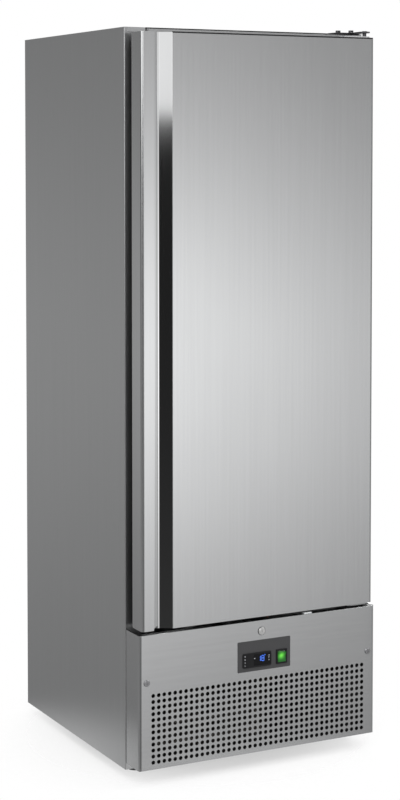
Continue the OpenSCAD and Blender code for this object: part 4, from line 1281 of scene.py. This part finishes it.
@dataclass
class Door:
    """The door's outer sheets and its gasket."""

    body: str = "door"
    corner: float = 8 * MM
    bend: float = 1.5 * MM
    sheet: float = 1 * MM
    back_return: float = 24 * MM
    hem: float = 10 * MM
    hem_fall: float = 0.45 * MM
    hem_bend: float = 1.2 * MM
    notch: float = 11 * MM
    notch_tool: tuple[float, float] = (5 * MM, 20 * MM)
    face_edge: float = 0.4 * MM
    fold_edge: float = 0.2 * MM
    cap_edge: float = 0.3 * MM
    recess_bend: float = 6 * MM
    slant: float = 60 * MM
    crease: tuple[float, float] = (28 * MM, 4 * MM)
    crease_bend: float = 2 * MM
    # Where the dark strip along the door's top, painted shade, starts and ends, measured from the
    # top of the door's skin
    cap: tuple[float, float] = (-2.0 * MM, 1.4 * MM)
    cap_sheet: float = 1.6 * MM
    gasket_width: float = 18 * MM
    gasket_round: float = 1.4 * MM
    # Each layer's start and end as shares of the gasket's depth, and how far it is set in
    gasket_layers: tuple[Point, ...] = (
        (0.0, 0.28, 0.0),
        (0.26, 0.64, 3.5 * MM),
        (0.62, 1.0, 1.0 * MM),
    )

    def build(self) -> None:
        """Makes the skin, the handle's wing and recess, and the gasket."""
        self.skin()
        self.wing()
        self.channel()
        self.gasket()

    def skin(self) -> None:
        """Folds the door's face round its right edge, and a dark strip along its top, painted
        shade above the door.
        """
        box = Box.of("door_skin")
        bends = [
            Bend(box.x0, box.y0),
            Bend(box.x1, box.y0, self.corner, 12),
            Bend(box.x1, box.y1, self.bend),
            Bend(box.x1 - self.back_return, box.y1),
        ]
        low, high = (box.z1 + level for level in self.cap)
        piece = fold_sheet("door_face_sheet", bends, box.z0, low, self.sheet)
        piece.ease(self.face_edge, 3)
        piece.dress(Finishes.DOOR_STEEL, self.body, "door_skin")
        # A dark strip over the face's top, painted shade above the door
        strip = fold_sheet("door_top_cap", bends[:3], low, high, self.cap_sheet)
        strip.ease(self.cap_edge)
        strip.dress(Finishes.GASKET_RUBBER, self.body, slot="black_plastic")

    def wing(self) -> None:
        """Folds the handle's wing round the left edge, with a hem and a notch below."""
        box = Box.of("handle_wing")
        hem_back = box.y0 + 3 * self.sheet
        edge = box.x1
        bends = [
            Bend(box.x0 + self.back_return, box.y1),
            Bend(box.x0, box.y1, self.bend),
            Bend(box.x0, box.y0, self.corner, 12),
            Bend(edge - self.hem, box.y0),
            Bend(edge, box.y0 + self.hem_fall, self.hem_bend),
            Bend(edge, hem_back, self.hem_bend),
            Bend(edge - self.hem, hem_back),
        ]
        piece = fold_sheet("handle_wing_sheet", bends, box.z0, box.z1, self.sheet)
        ahead, length = self.notch_tool
        place = (edge, box.y0 - ahead, box.z0)
        piece.cut(Workpiece.rod("notch_tool", place, length, self.notch, 64))
        piece.ease(self.fold_edge, 1, 50.0)
        piece.dress(Finishes.DOOR_STEEL, self.body, "handle_wing", smooth=25.0)

    def channel(self) -> None:
        """Folds the recess wall behind the wing: straight back, a crease and a slant."""
        box = Box.of("grip_channel")
        mouth = Box.of("door_skin").x0
        floor = box.y1 - self.sheet
        fall = (floor - box.y0) / self.slant
        start, width = self.crease
        crease_y = box.y0 + start * fall
        bends = [
            Bend(box.x0, floor),
            Bend(mouth - self.slant, floor, self.recess_bend, 10),
            Bend(mouth - start - width, crease_y + 0.1 * width, self.crease_bend, 6),
            Bend(mouth - start, crease_y, self.crease_bend, 6),
            Bend(mouth, box.y0, self.bend),
            Bend(box.x1, box.y0),
        ]
        piece = fold_sheet("recess_sheet", bends, box.z0, box.z1, self.sheet)
        piece.ease(self.fold_edge, 1, 50.0)
        piece.dress(Finishes.RECESS_STEEL, self.body, "grip_channel")

    def gasket(self) -> None:
        """Makes the gasket's foot, bellows and magnet head as three rings."""
        box = Box.of("door_gasket")
        depth = box.y1 - box.y0
        rings = []
        for count, (start, end, inset) in enumerate(self.gasket_layers):
            front = box.y0 + start * depth
            outline = box.inset(inset, inset).between(front, front)
            ring = Workpiece.panel(f"gasket_ring_{count}", outline)
            ring.grab(Pick.FACES)
            ring.hollow(self.gasket_width - 2 * inset)
            ring.grab(Pick.FACES)
            ring.draw_out((0.0, (end - start) * depth, 0.0))
            ring.outwards()
            ring.ease(self.gasket_round, 4)
            rings.append(ring)
        piece = Workpiece.merged("door_gasket_ring", rings)
        piece.dress(Finishes.GASKET_RUBBER, self.body, "door_gasket")


@dataclass(frozen=True)
class Figure:
    """A lit figure of seven strokes: its lower left corner, its front and its sizes."""

    x: float
    z: float
    front: float
    wide: float = 7.4 * MM
    tall: float = 14.5 * MM
    bar: float = 1.0 * MM
    gap: float = 0.2 * MM
    thick: float = 0.3 * MM

    def stroke(self, letter: str) -> Workpiece:
        """Makes one of the strokes as a bar with pointed ends.

        Args:
            letter: Its usual letter, from a to g.

        Returns:
            The stroke.
        """
        half = self.bar / 2
        levels = {"a": self.tall - self.bar, "g": self.tall / 2 - half, "d": 0.0}
        if letter in levels:
            axis = Axis.X
            x, wide = self.x + half + self.gap, self.wide - self.bar - 2 * self.gap
            z, tall = self.z + levels[letter], self.bar
        else:
            axis = Axis.Z
            x, wide = self.x + (self.wide - self.bar if letter in "bc" else 0.0), self.bar
            z = self.z + (self.tall / 2 if letter in "bf" else half) + self.gap
            tall = (self.tall - self.bar) / 2 - 2 * self.gap
        box = Box(x, self.front, z, x + wide, self.front + self.thick, z + tall)
        piece = Workpiece.block("figure_stroke", box)
        middle, reach = box.middle, box.size[axis.value] / 2
        piece.pick(
            Pick.EDGES,
            lambda p: abs(abs(p[axis.value] - middle[axis.value]) - reach) < NEAR
            and abs(p.y - middle.y) < NEAR,
            whole=False,
        )
        piece.round_off(self.bar * 0.42, 1)
        return piece


@dataclass
class Controls:
    """The control plate with its controller, its switch and the lock above it."""

    body: str = "cabinet"
    text: str = "18"
    # The radius of a slab's corners and the width of its eased edges
    plate_round: tuple[float, float] = (2 * MM, 0.35 * MM)
    case_round: tuple[float, float] = (4 * MM, 0.9 * MM)
    window_round: tuple[float, float] = (1.6 * MM, 0.3 * MM)
    key_round: tuple[float, float] = (1.2 * MM, 0.4 * MM)
    switch_round: tuple[float, float] = (2 * MM, 0.9 * MM)
    case_opening: float = 5.3 * MM
    case_back: tuple[float, float] = (5.5 * MM, 4 * MM)
    case_back_edge: float = 0.8 * MM
    window_seat: float = 0.6 * MM
    switch_opening: float = 1.6 * MM
    switch_back: float = 2 * MM
    switch_overlap: float = 0.3 * MM
    switch_floor: float = 3 * MM
    key_play: float = 0.4 * MM
    key_well: float = 1.6 * MM
    key_cap: float = 1.4 * MM
    key_stem: float = 1 * MM
    # The radius, the width and the thickness of a key's mark
    key_mark: tuple[float, float, float] = (1.1 * MM, 0.45 * MM, 0.08 * MM)
    # How far the figures stand apart, in front of the window and off its middle
    figure_pitch: float = 10.2 * MM
    figure_proud: float = 0.05 * MM
    figure_shift: tuple[float, float] = (-3.2 * MM, 2.6 * MM)
    degree_ring: tuple[float, float] = (1.3 * MM, 0.6 * MM)
    lens: tuple[float, float] = (11 * MM, 13.5 * MM)
    lens_play: float = 0.6 * MM
    rocker_half: tuple[float, float] = (11 * MM, 12.9 * MM)
    rocker_proud: float = 8.6 * MM
    rocker_back: float = 5 * MM
    rocker_round: float = 0.7 * MM
    rocker_taper: float = 0.7
    axle_y: float = -350.4 * MM
    axle: float = 2 * MM
    axle_end: float = 1.8 * MM
    swing: float = 12.0
    lock_ring: float = 9.5 * MM
    lock_ring_round: float = 0.8 * MM
    lock_barrel: float = 8 * MM
    lock_bore: float = 6.1 * MM
    lock_plug: float = 6 * MM
    lock_plug_round: float = 0.5 * MM
    # The rim of the black washer round the lock's ring, which paints its shadow
    washer: float = 0.9 * MM
    key_slot: tuple[float, float] = (0.9 * MM, 3.75 * MM)
    key_slot_depth: float = 8 * MM

    def build(self) -> None:
        """Makes each piece of the controls."""
        self.plate()
        self.case()
        self.figures()
        self.switch()
        self.lock()

    @staticmethod
    def slab(name: str, box: Box, rounds: tuple[float, float]) -> Workpiece:
        """Makes a flat slab with round corners seen from the front and eased edges.

        Args:
            name: The piece's name.
            box: Its box.
            rounds: The radius of its corners and the width of its eased edges.

        Returns:
            The slab.
        """
        piece = Workpiece.block(name, box)
        middle = box.middle
        half = (box.x1 - box.x0) / 2
        piece.pick(
            Pick.EDGES,
            lambda p: abs(abs(p.x - middle.x) - half) < NEAR and abs(p.y - middle.y) < NEAR,
            whole=False,
        )
        radius, edge = rounds
        piece.round_off(radius, 6)
        piece.pick(Pick.EDGES, Axis.Y.at(box.y0))
        piece.round_off(edge, 3)
        return piece

    def plate(self) -> None:
        """Makes the grey plate with openings for the controller and the switch."""
        box = Box.of("control_plate")
        piece = self.slab("control_plate_film", box, self.plate_round)
        openings = {"controller_case": self.case_opening, "switch_bezel": self.switch_opening}
        for node, trim in openings.items():
            opening = Box.of(node).inset(trim, trim * 0.75)
            tool = opening.between(box.y0 - 5 * MM, box.y1 + 5 * MM)
            piece.cut(Workpiece.block("opening", tool))
        piece.dress(Finishes.PLATE_GREY, self.body, "control_plate")

    def case(self) -> None:
        """Makes the controller's bezel with its window and four keys."""
        box = Box.of("controller_case")
        seat = Box.of("control_plate").y0
        window = Box.of("display_window")
        piece = self.slab("controller_bezel", box.between(box.y0, seat), self.case_round)
        front = box.y0 - CLEAR
        seated = window.between(front, window.y0 + self.window_seat)
        piece.cut(Workpiece.block("window_tool", seated))
        keys = {number: Box.of(f"controller_key_{number}") for number in KEY_MARKS}
        for key in keys.values():
            well = key.inset(-self.key_play, -self.key_play)
            well = well.between(front, key.y0 + self.key_well)
            piece.cut(Workpiece.block("key_tool", well))
        back = box.inset(*self.case_back).between(seat - OVERLAP, box.y1)
        back = Workpiece.block("controller_back", back)
        back.ease(self.case_back_edge)
        piece.join(back)
        piece.dress(Finishes.BLACK_PLASTIC, self.body, "controller_case")
        for number, key in keys.items():
            self.key(number, key)
        glass = self.slab("controller_window", window, self.window_round)
        glass.dress(Finishes.WINDOW, self.body, "display_window")

    def key(self, number: int, box: Box) -> None:
        """Makes one key with a small raised mark on it.

        Args:
            number: The key's number, from 1 to 4.
            box: Its box.
        """
        cap = box.between(box.y0, box.y0 + self.key_cap)
        piece = self.slab(f"key_cap_{number}", cap, self.key_round)
        middle = box.middle
        start = (middle.x, cap.y1 - OVERLAP, middle.z)
        piece.join(Workpiece.rod("key_stem", start, box.y1 - cap.y1, self.key_stem, 16))
        body = f"key_{number}"
        piece.dress(Finishes.KEY_PLASTIC, body, f"controller_key_{number}")
        sides, turn = KEY_MARKS[number]
        radius, width, thickness = self.key_mark
        Workpiece.clear()
        bpy.ops.mesh.primitive_circle_add(
            vertices=sides,
            radius=radius,
            fill_type="NGON",
            location=(middle.x, box.y0 - thickness / 4, middle.z),
            rotation=(QUARTER, 0.0, turn),
        )
        mark = Workpiece(f"key_mark_{number}")
        mark.grab(Pick.FACES)
        mark.hollow(width)
        mark.use("SOLIDIFY", thickness=thickness, offset=0.0)
        mark.outwards()
        mark.dress(Finishes.MARKS, body, slot="key_plastic")

    def figures(self) -> None:
        """Makes the lit figures, a degree ring and a few small indicator marks."""
        window = Box.of("display_window")
        front = window.y0 - self.figure_proud
        pitch, wide, tall = self.figure_pitch, Figure.wide, Figure.tall
        aside, up = self.figure_shift
        middle = window.middle.x + aside
        low = window.middle.z - tall / 2 + up
        high = low + tall
        strokes: list[Workpiece] = []
        for place, sign in enumerate(self.text):
            figure = Figure(middle + (place - 0.5) * pitch - wide / 2, low, front)
            strokes.extend(figure.stroke(letter) for letter in LIT_STROKES[sign])
        degree = (middle + 1.12 * pitch, front, high + 0.9 * MM)
        strokes.append(self.ring(degree, *self.degree_ring))
        piece = Workpiece.merged("lit_figures", strokes)
        piece.dress(Finishes.FIGURES, self.body, slot="window")
        right = window.x1 - 4.6 * MM
        marks = [
            self.ring((right, front, high - 2 * MM), 1.3 * MM, 0.5 * MM),
            self.ring((right, front, high - 7 * MM), 0.9 * MM, 0.9 * MM),
            self.ring((right, front, low + 1.2 * MM), 1.2 * MM, 0.5 * MM),
            self.ring((window.x0 + 2.5 * MM, front, high - 6 * MM), 1.1 * MM, 1.1 * MM),
        ]
        piece = Workpiece.merged("indicator_marks", marks)
        piece.dress(Finishes.MARKS, self.body, slot="window")

    @staticmethod
    def ring(place: Point, radius: float, wall: float) -> Workpiece:
        """Makes a small ring, or a dot where the wall is as wide as the radius.

        Args:
            place: The middle of its front.
            radius: Its radius.
            wall: The width of its wall.

        Returns:
            The ring.
        """
        piece = Workpiece.rod("ring_mark", place, Figure.thick, radius, 24)
        if wall < radius:
            start = (place[0], place[1] - CLEAR, place[2])
            piece.cut(Workpiece.rod("hole", start, 3 * MM, radius - wall, 24))
        return piece

    def switch(self) -> None:
        """Makes the switch's bezel, and the rocker in it."""
        box = Box.of("switch_bezel")
        seat = Box.of("control_plate").y0
        piece = self.slab("switch_frame", box.between(box.y0, seat), self.switch_round)
        back = box.inset(self.switch_back, self.switch_back)
        back = back.between(seat - self.switch_overlap, box.y1)
        back = Workpiece.block("switch_back", back)
        half_x, half_z = (half + self.lens_play for half in self.lens)
        floor = box.y1 - self.switch_floor
        well = Box.about(box.middle, half_x, half_z, box.y0 - CLEAR, floor)
        for part in (piece, back):
            part.cut(Workpiece.block("well", well))
        piece.join(back)
        piece.dress(Finishes.BLACK_PLASTIC, self.body, "switch_bezel")
        self.rocker(box.middle)

    def rocker(self, middle: Vector) -> None:
        """Shapes the rocker: a block whose face dips to a crease at mid height, with its axle.

        Args:
            middle: The middle of the switch.
        """
        half_x, half_z = self.rocker_half
        swing = math.radians(self.swing)
        dip = half_z * math.sin(swing)
        front, back = self.axle_y - self.rocker_proud - dip, self.axle_y + self.rocker_back
        box = Box.about(middle, half_x, half_z, front, back)
        piece = Workpiece.block("rocker_lens", box)
        piece.grab(Pick.EDGES)
        bpy.ops.mesh.bisect(plane_co=middle, plane_no=(0.0, 0.0, 1.0))
        piece.pick(Pick.VERTS, lambda p: abs(p.z - middle.z) < NEAR and p.y < self.axle_y)
        bpy.ops.transform.translate(value=(0.0, dip, 0.0))
        piece.pick(Pick.VERTS, lambda p: p.y > self.axle_y)
        taper = (1.0, 1.0, self.rocker_taper)
        bpy.ops.transform.resize(value=taper, center_override=tuple(middle))
        piece.grab(Pick.VERTS)
        bpy.ops.transform.rotate(
            value=-swing / 2,
            orient_axis="X",
            center_override=(middle.x, self.axle_y, middle.z),
        )
        piece.ease(self.rocker_round, 3, 20.0)
        reach = half_x + self.axle_end
        start = (middle.x - reach, self.axle_y, middle.z)
        piece.join(Workpiece.rod("axle", start, 2 * reach, self.axle, 24, Axis.X))
        piece.dress(Finishes.GREEN_LENS, "rocker", "switch_rocker")

    def lock(self) -> None:
        """Makes the lock's ring and barrel, a black washer whose rim paints the shadow round the
        ring, and its plug with the key slot.
        """
        box = Box.of("lock_body")
        plug_box = Box.of("lock_plug")
        seat = Box.of("base_panel").y0
        middle = plug_box.middle

        def turned(name: str, y: float, length: float, radius: float, sides: int) -> Workpiece:
            """Makes a cylinder on the lock's axis, from a place along it."""
            start = (middle.x, y, middle.z)
            return Workpiece.rod(name, start, length, radius, sides)

        ring = turned("lock_ring", box.y0, seat - box.y0, self.lock_ring, 64)
        ring.pick(Pick.EDGES, Axis.Y.at(box.y0))
        ring.round_off(self.lock_ring_round, 4)
        barrel = turned("barrel", seat - OVERLAP, box.y1 - seat, self.lock_barrel, 48)
        for part in (ring, barrel):
            part.cut(turned("bore", box.y0 - CLEAR, 40 * MM, self.lock_bore, 48))
        ring.join(barrel)
        ring.dress(Finishes.LOCK_CHROME, self.body, "lock_body")
        # A black washer behind the ring, whose rim paints the shadow round it
        washer_radius = self.lock_ring + self.washer
        washer = turned("lock_washer", seat - self.washer, self.washer, washer_radius, 64)
        washer.cut(turned("bore", seat - 2 * MM, 4 * MM, self.lock_barrel, 48))
        washer.dress(Finishes.RUBBER_BLACK, self.body)
        front = plug_box.y0
        plug = turned("lock_plug_face", front, plug_box.y1 - front, self.lock_plug, 48)
        plug.pick(Pick.EDGES, Axis.Y.at(front))
        plug.round_off(self.lock_plug_round, 3)
        slot = Box.about(middle, *self.key_slot, front - CLEAR, front + self.key_slot_depth)
        plug.cut(Workpiece.block("key_slot", slot))
        plug.dress(Finishes.LOCK_CHROME, "lock", "lock_plug")


@dataclass(frozen=True)
class Pressing:
    """A folded, moulded or turned piece whose sharp edges are eased as the tools leave them."""

    node: str
    name: str
    radius: float = 0.4 * MM
    steps: int = 2
    finish: Optional[Finishes] = None

    def build(self, frame: dict[str, Any]) -> None:
        """Makes the piece from its node.

        Args:
            frame: The loaded frame.
        """
        record = frame["record"]
        slot = next(p["material_slot"] for p in record["subparts"] if p["node"] == self.node)
        bodies = record["behaviour"]["bodies"]
        body = next(name for name, members in bodies.items() if self.node in members)
        piece = Workpiece.traced(self.name, frame["nodes"][self.node])
        if self.radius:
            piece.ease(self.radius, self.steps, 38.0)
        piece.dress(self.finish or Finishes.of_slot(slot), body, self.node, slot=slot)


PRESSINGS = (
    Pressing("hinge_blank", "blanking_plate", 0.3 * MM, finish=Finishes.TOP_STEEL),
    Pressing("top_hinge_plate", "upper_hinge_plate", 0.5 * MM, finish=Finishes.BLUED),
    Pressing("hinge_bolts", "hinge_hex_bolts", 0.45 * MM, finish=Finishes.BLUED),
    Pressing("hinge_pins", "hinge_pin_pair", finish=Finishes.BLUED),
    Pressing("bottom_hinge_bracket", "lower_hinge_bracket", 0.5 * MM),
    Pressing("bush_plate", "upper_bush_plate", 0.5 * MM, finish=Finishes.BRIGHT),
    Pressing("door_bushes", "hinge_bush_pair", 0.3 * MM),
    Pressing("door_end_plates", "door_end_folds", 0.3 * MM),
    Pressing("door_sensor", "door_sensor_cap", 0.6 * MM),
    Pressing("lock_keep", "lock_keep_box", 0.3 * MM),
    Pressing("back_panel", "back_sheet"),
    Pressing("rear_vent_cover", "rear_vent_sheet", 0.3 * MM),
    Pressing("cord_gland", "cord_gland_body", 0.6 * MM),
    Pressing("floor_skin", "box_floor_sheet", 0.3 * MM),
    # The tray and the brackets wear near black zinc, painted shade behind the vents
    Pressing("base_tray", "base_tray_sheet", finish=Finishes.TRAY),
    Pressing("panel_brackets", "panel_bracket_pair", 0.3 * MM, finish=Finishes.TRAY),
    Pressing("foot_left", "levelling_foot_left", 0.8 * MM),
    Pressing("foot_right", "levelling_foot_right", 0.8 * MM),
    Pressing("roller_left", "rear_roller_left", 1.0 * MM),
    Pressing("roller_right", "rear_roller_right", 1.0 * MM),
    Pressing("liner", "inner_liner", 3 * MM, 3),
    Pressing("breaker_strip", "breaker_frame", 0.8 * MM),
    Pressing("door_liner", "inner_door_panel", 3 * MM, 3),
    Pressing("shelf_uprights", "slotted_uprights", 0.3 * MM, 1),
    Pressing("shelf_clips", "shelf_hooks", 0.3 * MM, 1),
    Pressing("wire_shelves", "wire_grids", 0.0),
    Pressing("evaporator_cover", "evaporator_hood", 1.2 * MM, 3),
    Pressing("evaporator_fan", "evaporator_blades", 0.3 * MM, 1),
    Pressing("fan_motors", "fan_motor_pair", 0.5 * MM),
    Pressing("fan_shroud", "condenser_shroud", 0.4 * MM, 1),
    Pressing("condenser_fan", "condenser_blades", 0.3 * MM, 1),
    Pressing("compressor", "compressor_pot", 0.8 * MM),
    Pressing("refrigerant_pipes", "suction_pipe_run", 0.0),
)


def dress_nodes(frame: dict[str, Any]) -> None:
    """Gives every node of the frame the finish of its slot.

    Args:
        frame: The loaded frame.
    """
    slots = {part["node"]: part["material_slot"] for part in frame["record"]["subparts"]}
    for name, obj in frame["nodes"].items():
        material = Finishes.of_slot(slots[name]).material
        if not obj.material_slots:
            obj.data.materials.append(material)
        for material_slot in obj.material_slots:
            material_slot.material = material


@dataclass(frozen=True)
class SoftBox:
    """An area lamp that doesn't show itself to the camera."""

    name: str
    place: Point
    power: float
    aim: Point = (0.0, 0.0, 0.9)
    size: tuple[float, float] = (2.2, 1.6)

    def build(self) -> None:
        """Adds the lamp, turned towards its aim."""
        data = bpy.data.lights.new(self.name, "AREA")
        data.shape = "RECTANGLE"
        data.size, data.size_y = self.size
        data.energy = self.power
        lamp = bpy.data.objects.new(self.name, data)
        lamp.location = self.place
        facing = Vector(self.aim) - Vector(self.place)
        lamp.rotation_euler = facing.to_track_quat("-Z", "Y").to_euler()
        lamp.visible_camera = False
        bpy.context.scene.collection.objects.link(lamp)


@dataclass
class Studio:
    """The camera, the lamps, the floor and the backdrop."""

    eye: Point = (-2.2676, -4.3805, 1.5566)
    yaw: float = 27.507
    pitch: float = 2.806
    lens: float = 83.78
    shift: float = -0.2
    backdrop_away: float = 13.0
    backdrop_low: float = -1.4
    backdrop_size: tuple[float, float] = (5.2, 9.6)
    floor_radius: float = 0.66
    # All stand well above the directions that the door and the side mirror
    lamps: tuple[SoftBox, ...] = (
        SoftBox("front_box", (-1.5, -3.6, 3.8), 85.0),
        SoftBox("left_box", (-3.6, -0.6, 3.4), 20.0),
        SoftBox("right_box", (3.4, -1.2, 3.6), 60.0),
        SoftBox("back_box", (1.6, 3.6, 3.4), 55.0),
    )

    def build(self) -> None:
        """Sets up everything round the cabinet."""
        self.camera()
        self.world()
        self.floor()
        self.backdrop()
        for lamp in self.lamps:
            lamp.build()
        bpy.context.scene.view_settings.view_transform = "Standard"

    def camera(self) -> None:
        """Places the camera at the photograph's point of view."""
        data = bpy.data.cameras.new("photo_camera")
        data.lens = self.lens
        data.sensor_width = 36.0
        data.shift_y = self.shift
        camera = bpy.data.objects.new("photo_camera", data)
        camera.location = self.eye
        camera.rotation_euler = (math.radians(90 - self.pitch), 0.0, math.radians(-self.yaw))
        bpy.context.scene.collection.objects.link(camera)
        bpy.context.scene.camera = camera

    def world(self) -> None:
        """Sets up the grey room that the steel mirrors, with nothing in it but light."""
        world = bpy.data.worlds.new("studio")
        world.use_nodes = True
        bpy.context.scene.world = world
        graph = Graph(world.node_tree)
        light = {"Color": (1.0, 1.0, 1.0), "Strength": self.room(graph)}
        graph.close(graph.add("ShaderNodeBackground", None, light), "ShaderNodeOutputWorld")

    @staticmethod
    def room(graph: Graph) -> Shade:
        """Works out how bright the room is in each direction.

        Bearings are in degrees to the right of straight ahead of the door, from -180 to 180,
        and heights are those of a direction of length 1.

        Args:
            graph: The world's nodes.

        Returns:
            The room's brightness.
        """
        direction = graph.add("ShaderNodeTexCoord", output="Generated")
        x, y, height = (
            graph.add("ShaderNodeSeparateXYZ", None, {"Vector": direction}, axis.value)
            for axis in Axis
        )
        sockets = {0: x, 1: y * -1.0}
        turn = graph.add("ShaderNodeMath", {"operation": "ARCTAN2"}, sockets)
        bearing = turn * math.degrees(1.0)
        # Even grey, brighter overhead and calmer behind and where the door's right side looks
        behind = bearing.bell(-157.0, 30.0) + bearing.bell(203.0, 30.0)
        calm = bearing.bell(26.0, 26.0) * 0.3 + behind * 0.37
        level = 0.55 + height.above(0.55, 0.5) * 0.35 - calm * height.bell(-0.1, 0.4)
        # The soft glow that the door mirrors, and a pale wall behind for the left side
        core = bearing.bell(22.0, 14.0) * height.bell(-0.108, 0.105) * 1.1
        glow = core + bearing.bell(22.0, 10.0) * height.bell(-0.108, 0.28) * 0.67
        wall = behind * height.bell(-0.1, 0.14) * 0.35
        # A bright window to the front left, parted by a post, which the polished recess mirrors
        left = bearing.within(-88.0, 0.0, 20.0)
        window = left * height.above(0.019, 0.005) * height.bell(0.0, 0.4)
        post = 1.5 - bearing.bell(-36.0, 9.0) * 1.1
        sill = left * height.above(0.008, 0.026) * 0.12
        # It is dark under the window, and on both flanks
        shadow = left * 0.42 + bearing.within(-43.5, -32.0, 5.0) * 0.55
        dark = shadow * (1.0 - height.above(0.016, 0.008)) * height.bell(0.0, 1.2)
        flank = bearing.within(-126.0, -98.0, 12.0) * 0.88
        flank = flank + bearing.within(80.0, 125.0, 20.0) * 0.6
        open_air = (1.0 - dark) * (1.0 - flank * height.bell(0.0, 0.3))
        return (level + glow + wall + window * post) * open_air + sill

    @staticmethod
    def card(name: str, tone: float, share: float) -> tuple[bpy.types.Material, Graph, Shade]:
        """Starts a pale material that shines for rays from the camera, from gloss or glass.

        Args:
            name: The material's name.
            tone: How pale it is under the lamps.
            share: How much it shines for those rays, where 1 is white.

        Returns:
            The material, its nodes and its surface.
        """
        material, graph = new_material(name)
        kinds = ("Is Camera Ray", "Is Glossy Ray", "Is Transmission Ray")
        camera, gloss, glass = (graph.add("ShaderNodeLightPath", output=kind) for kind in kinds)
        seen = (camera + gloss + glass).above(0.5, 0.2)
        matt = graph.add("ShaderNodeBsdfDiffuse", None, {"Color": (tone, tone, tone)})
        light = {"Color": (1.0, 1.0, 1.0), "Strength": 1.0}
        white = graph.add("ShaderNodeEmission", None, light)
        sockets = {0: seen * share, 1: matt, 2: white}
        return material, graph, graph.add("ShaderNodeMixShader", None, sockets)

    def floor(self) -> None:
        """Lays a pale round floor that fades out at its edge."""
        Workpiece.clear()
        bpy.ops.mesh.primitive_circle_add(
            vertices=96, radius=self.floor_radius, fill_type="NGON", location=(0.0, 0.0, -0.4 * MM)
        )
        floor = Workpiece("studio_floor").object
        material, graph, pale = self.card("pale_floor", 0.86, 0.55)
        edge, fade = self.floor_radius * 0.67, self.floor_radius * 0.66
        away = graph.away(graph.place()).above(edge, fade)
        clear = graph.add("ShaderNodeBsdfTransparent")
        graph.close(graph.add("ShaderNodeMixShader", None, {0: away, 1: pale, 2: clear}))
        floor.data.materials.append(material)

    def backdrop(self) -> None:
        """Stands a white card far behind the cabinet, square to the camera."""
        yaw = math.radians(self.yaw)
        ahead = Vector((math.sin(yaw), math.cos(yaw), 0.0)) * self.backdrop_away
        Workpiece.clear()
        bpy.ops.mesh.primitive_plane_add(
            size=1.0,
            location=(ahead.x, ahead.y, self.backdrop_low),
            rotation=(QUARTER, 0.0, -yaw),
        )
        card = Workpiece("studio_backdrop", (*self.backdrop_size, 1.0)).object
        material, graph, surface = self.card("white_backdrop", 0.9, 1.0)
        graph.close(surface)
        card.data.materials.append(material)


def main() -> None:
    """Dresses the frame, builds the finer pieces and sets up the studio."""
    logging.basicConfig(level=logging.INFO, format="%(name)s: %(message)s")
    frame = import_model()
    Studio().build()
    dress_nodes(frame)
    for part in (Carcass(), BasePanel(), Door(), Controls()):
        log.info("building: %s", type(part).__name__)
        part.build()
    for pressing in PRESSINGS:
        pressing.build(frame)


if __name__ == "__main__":
    main()
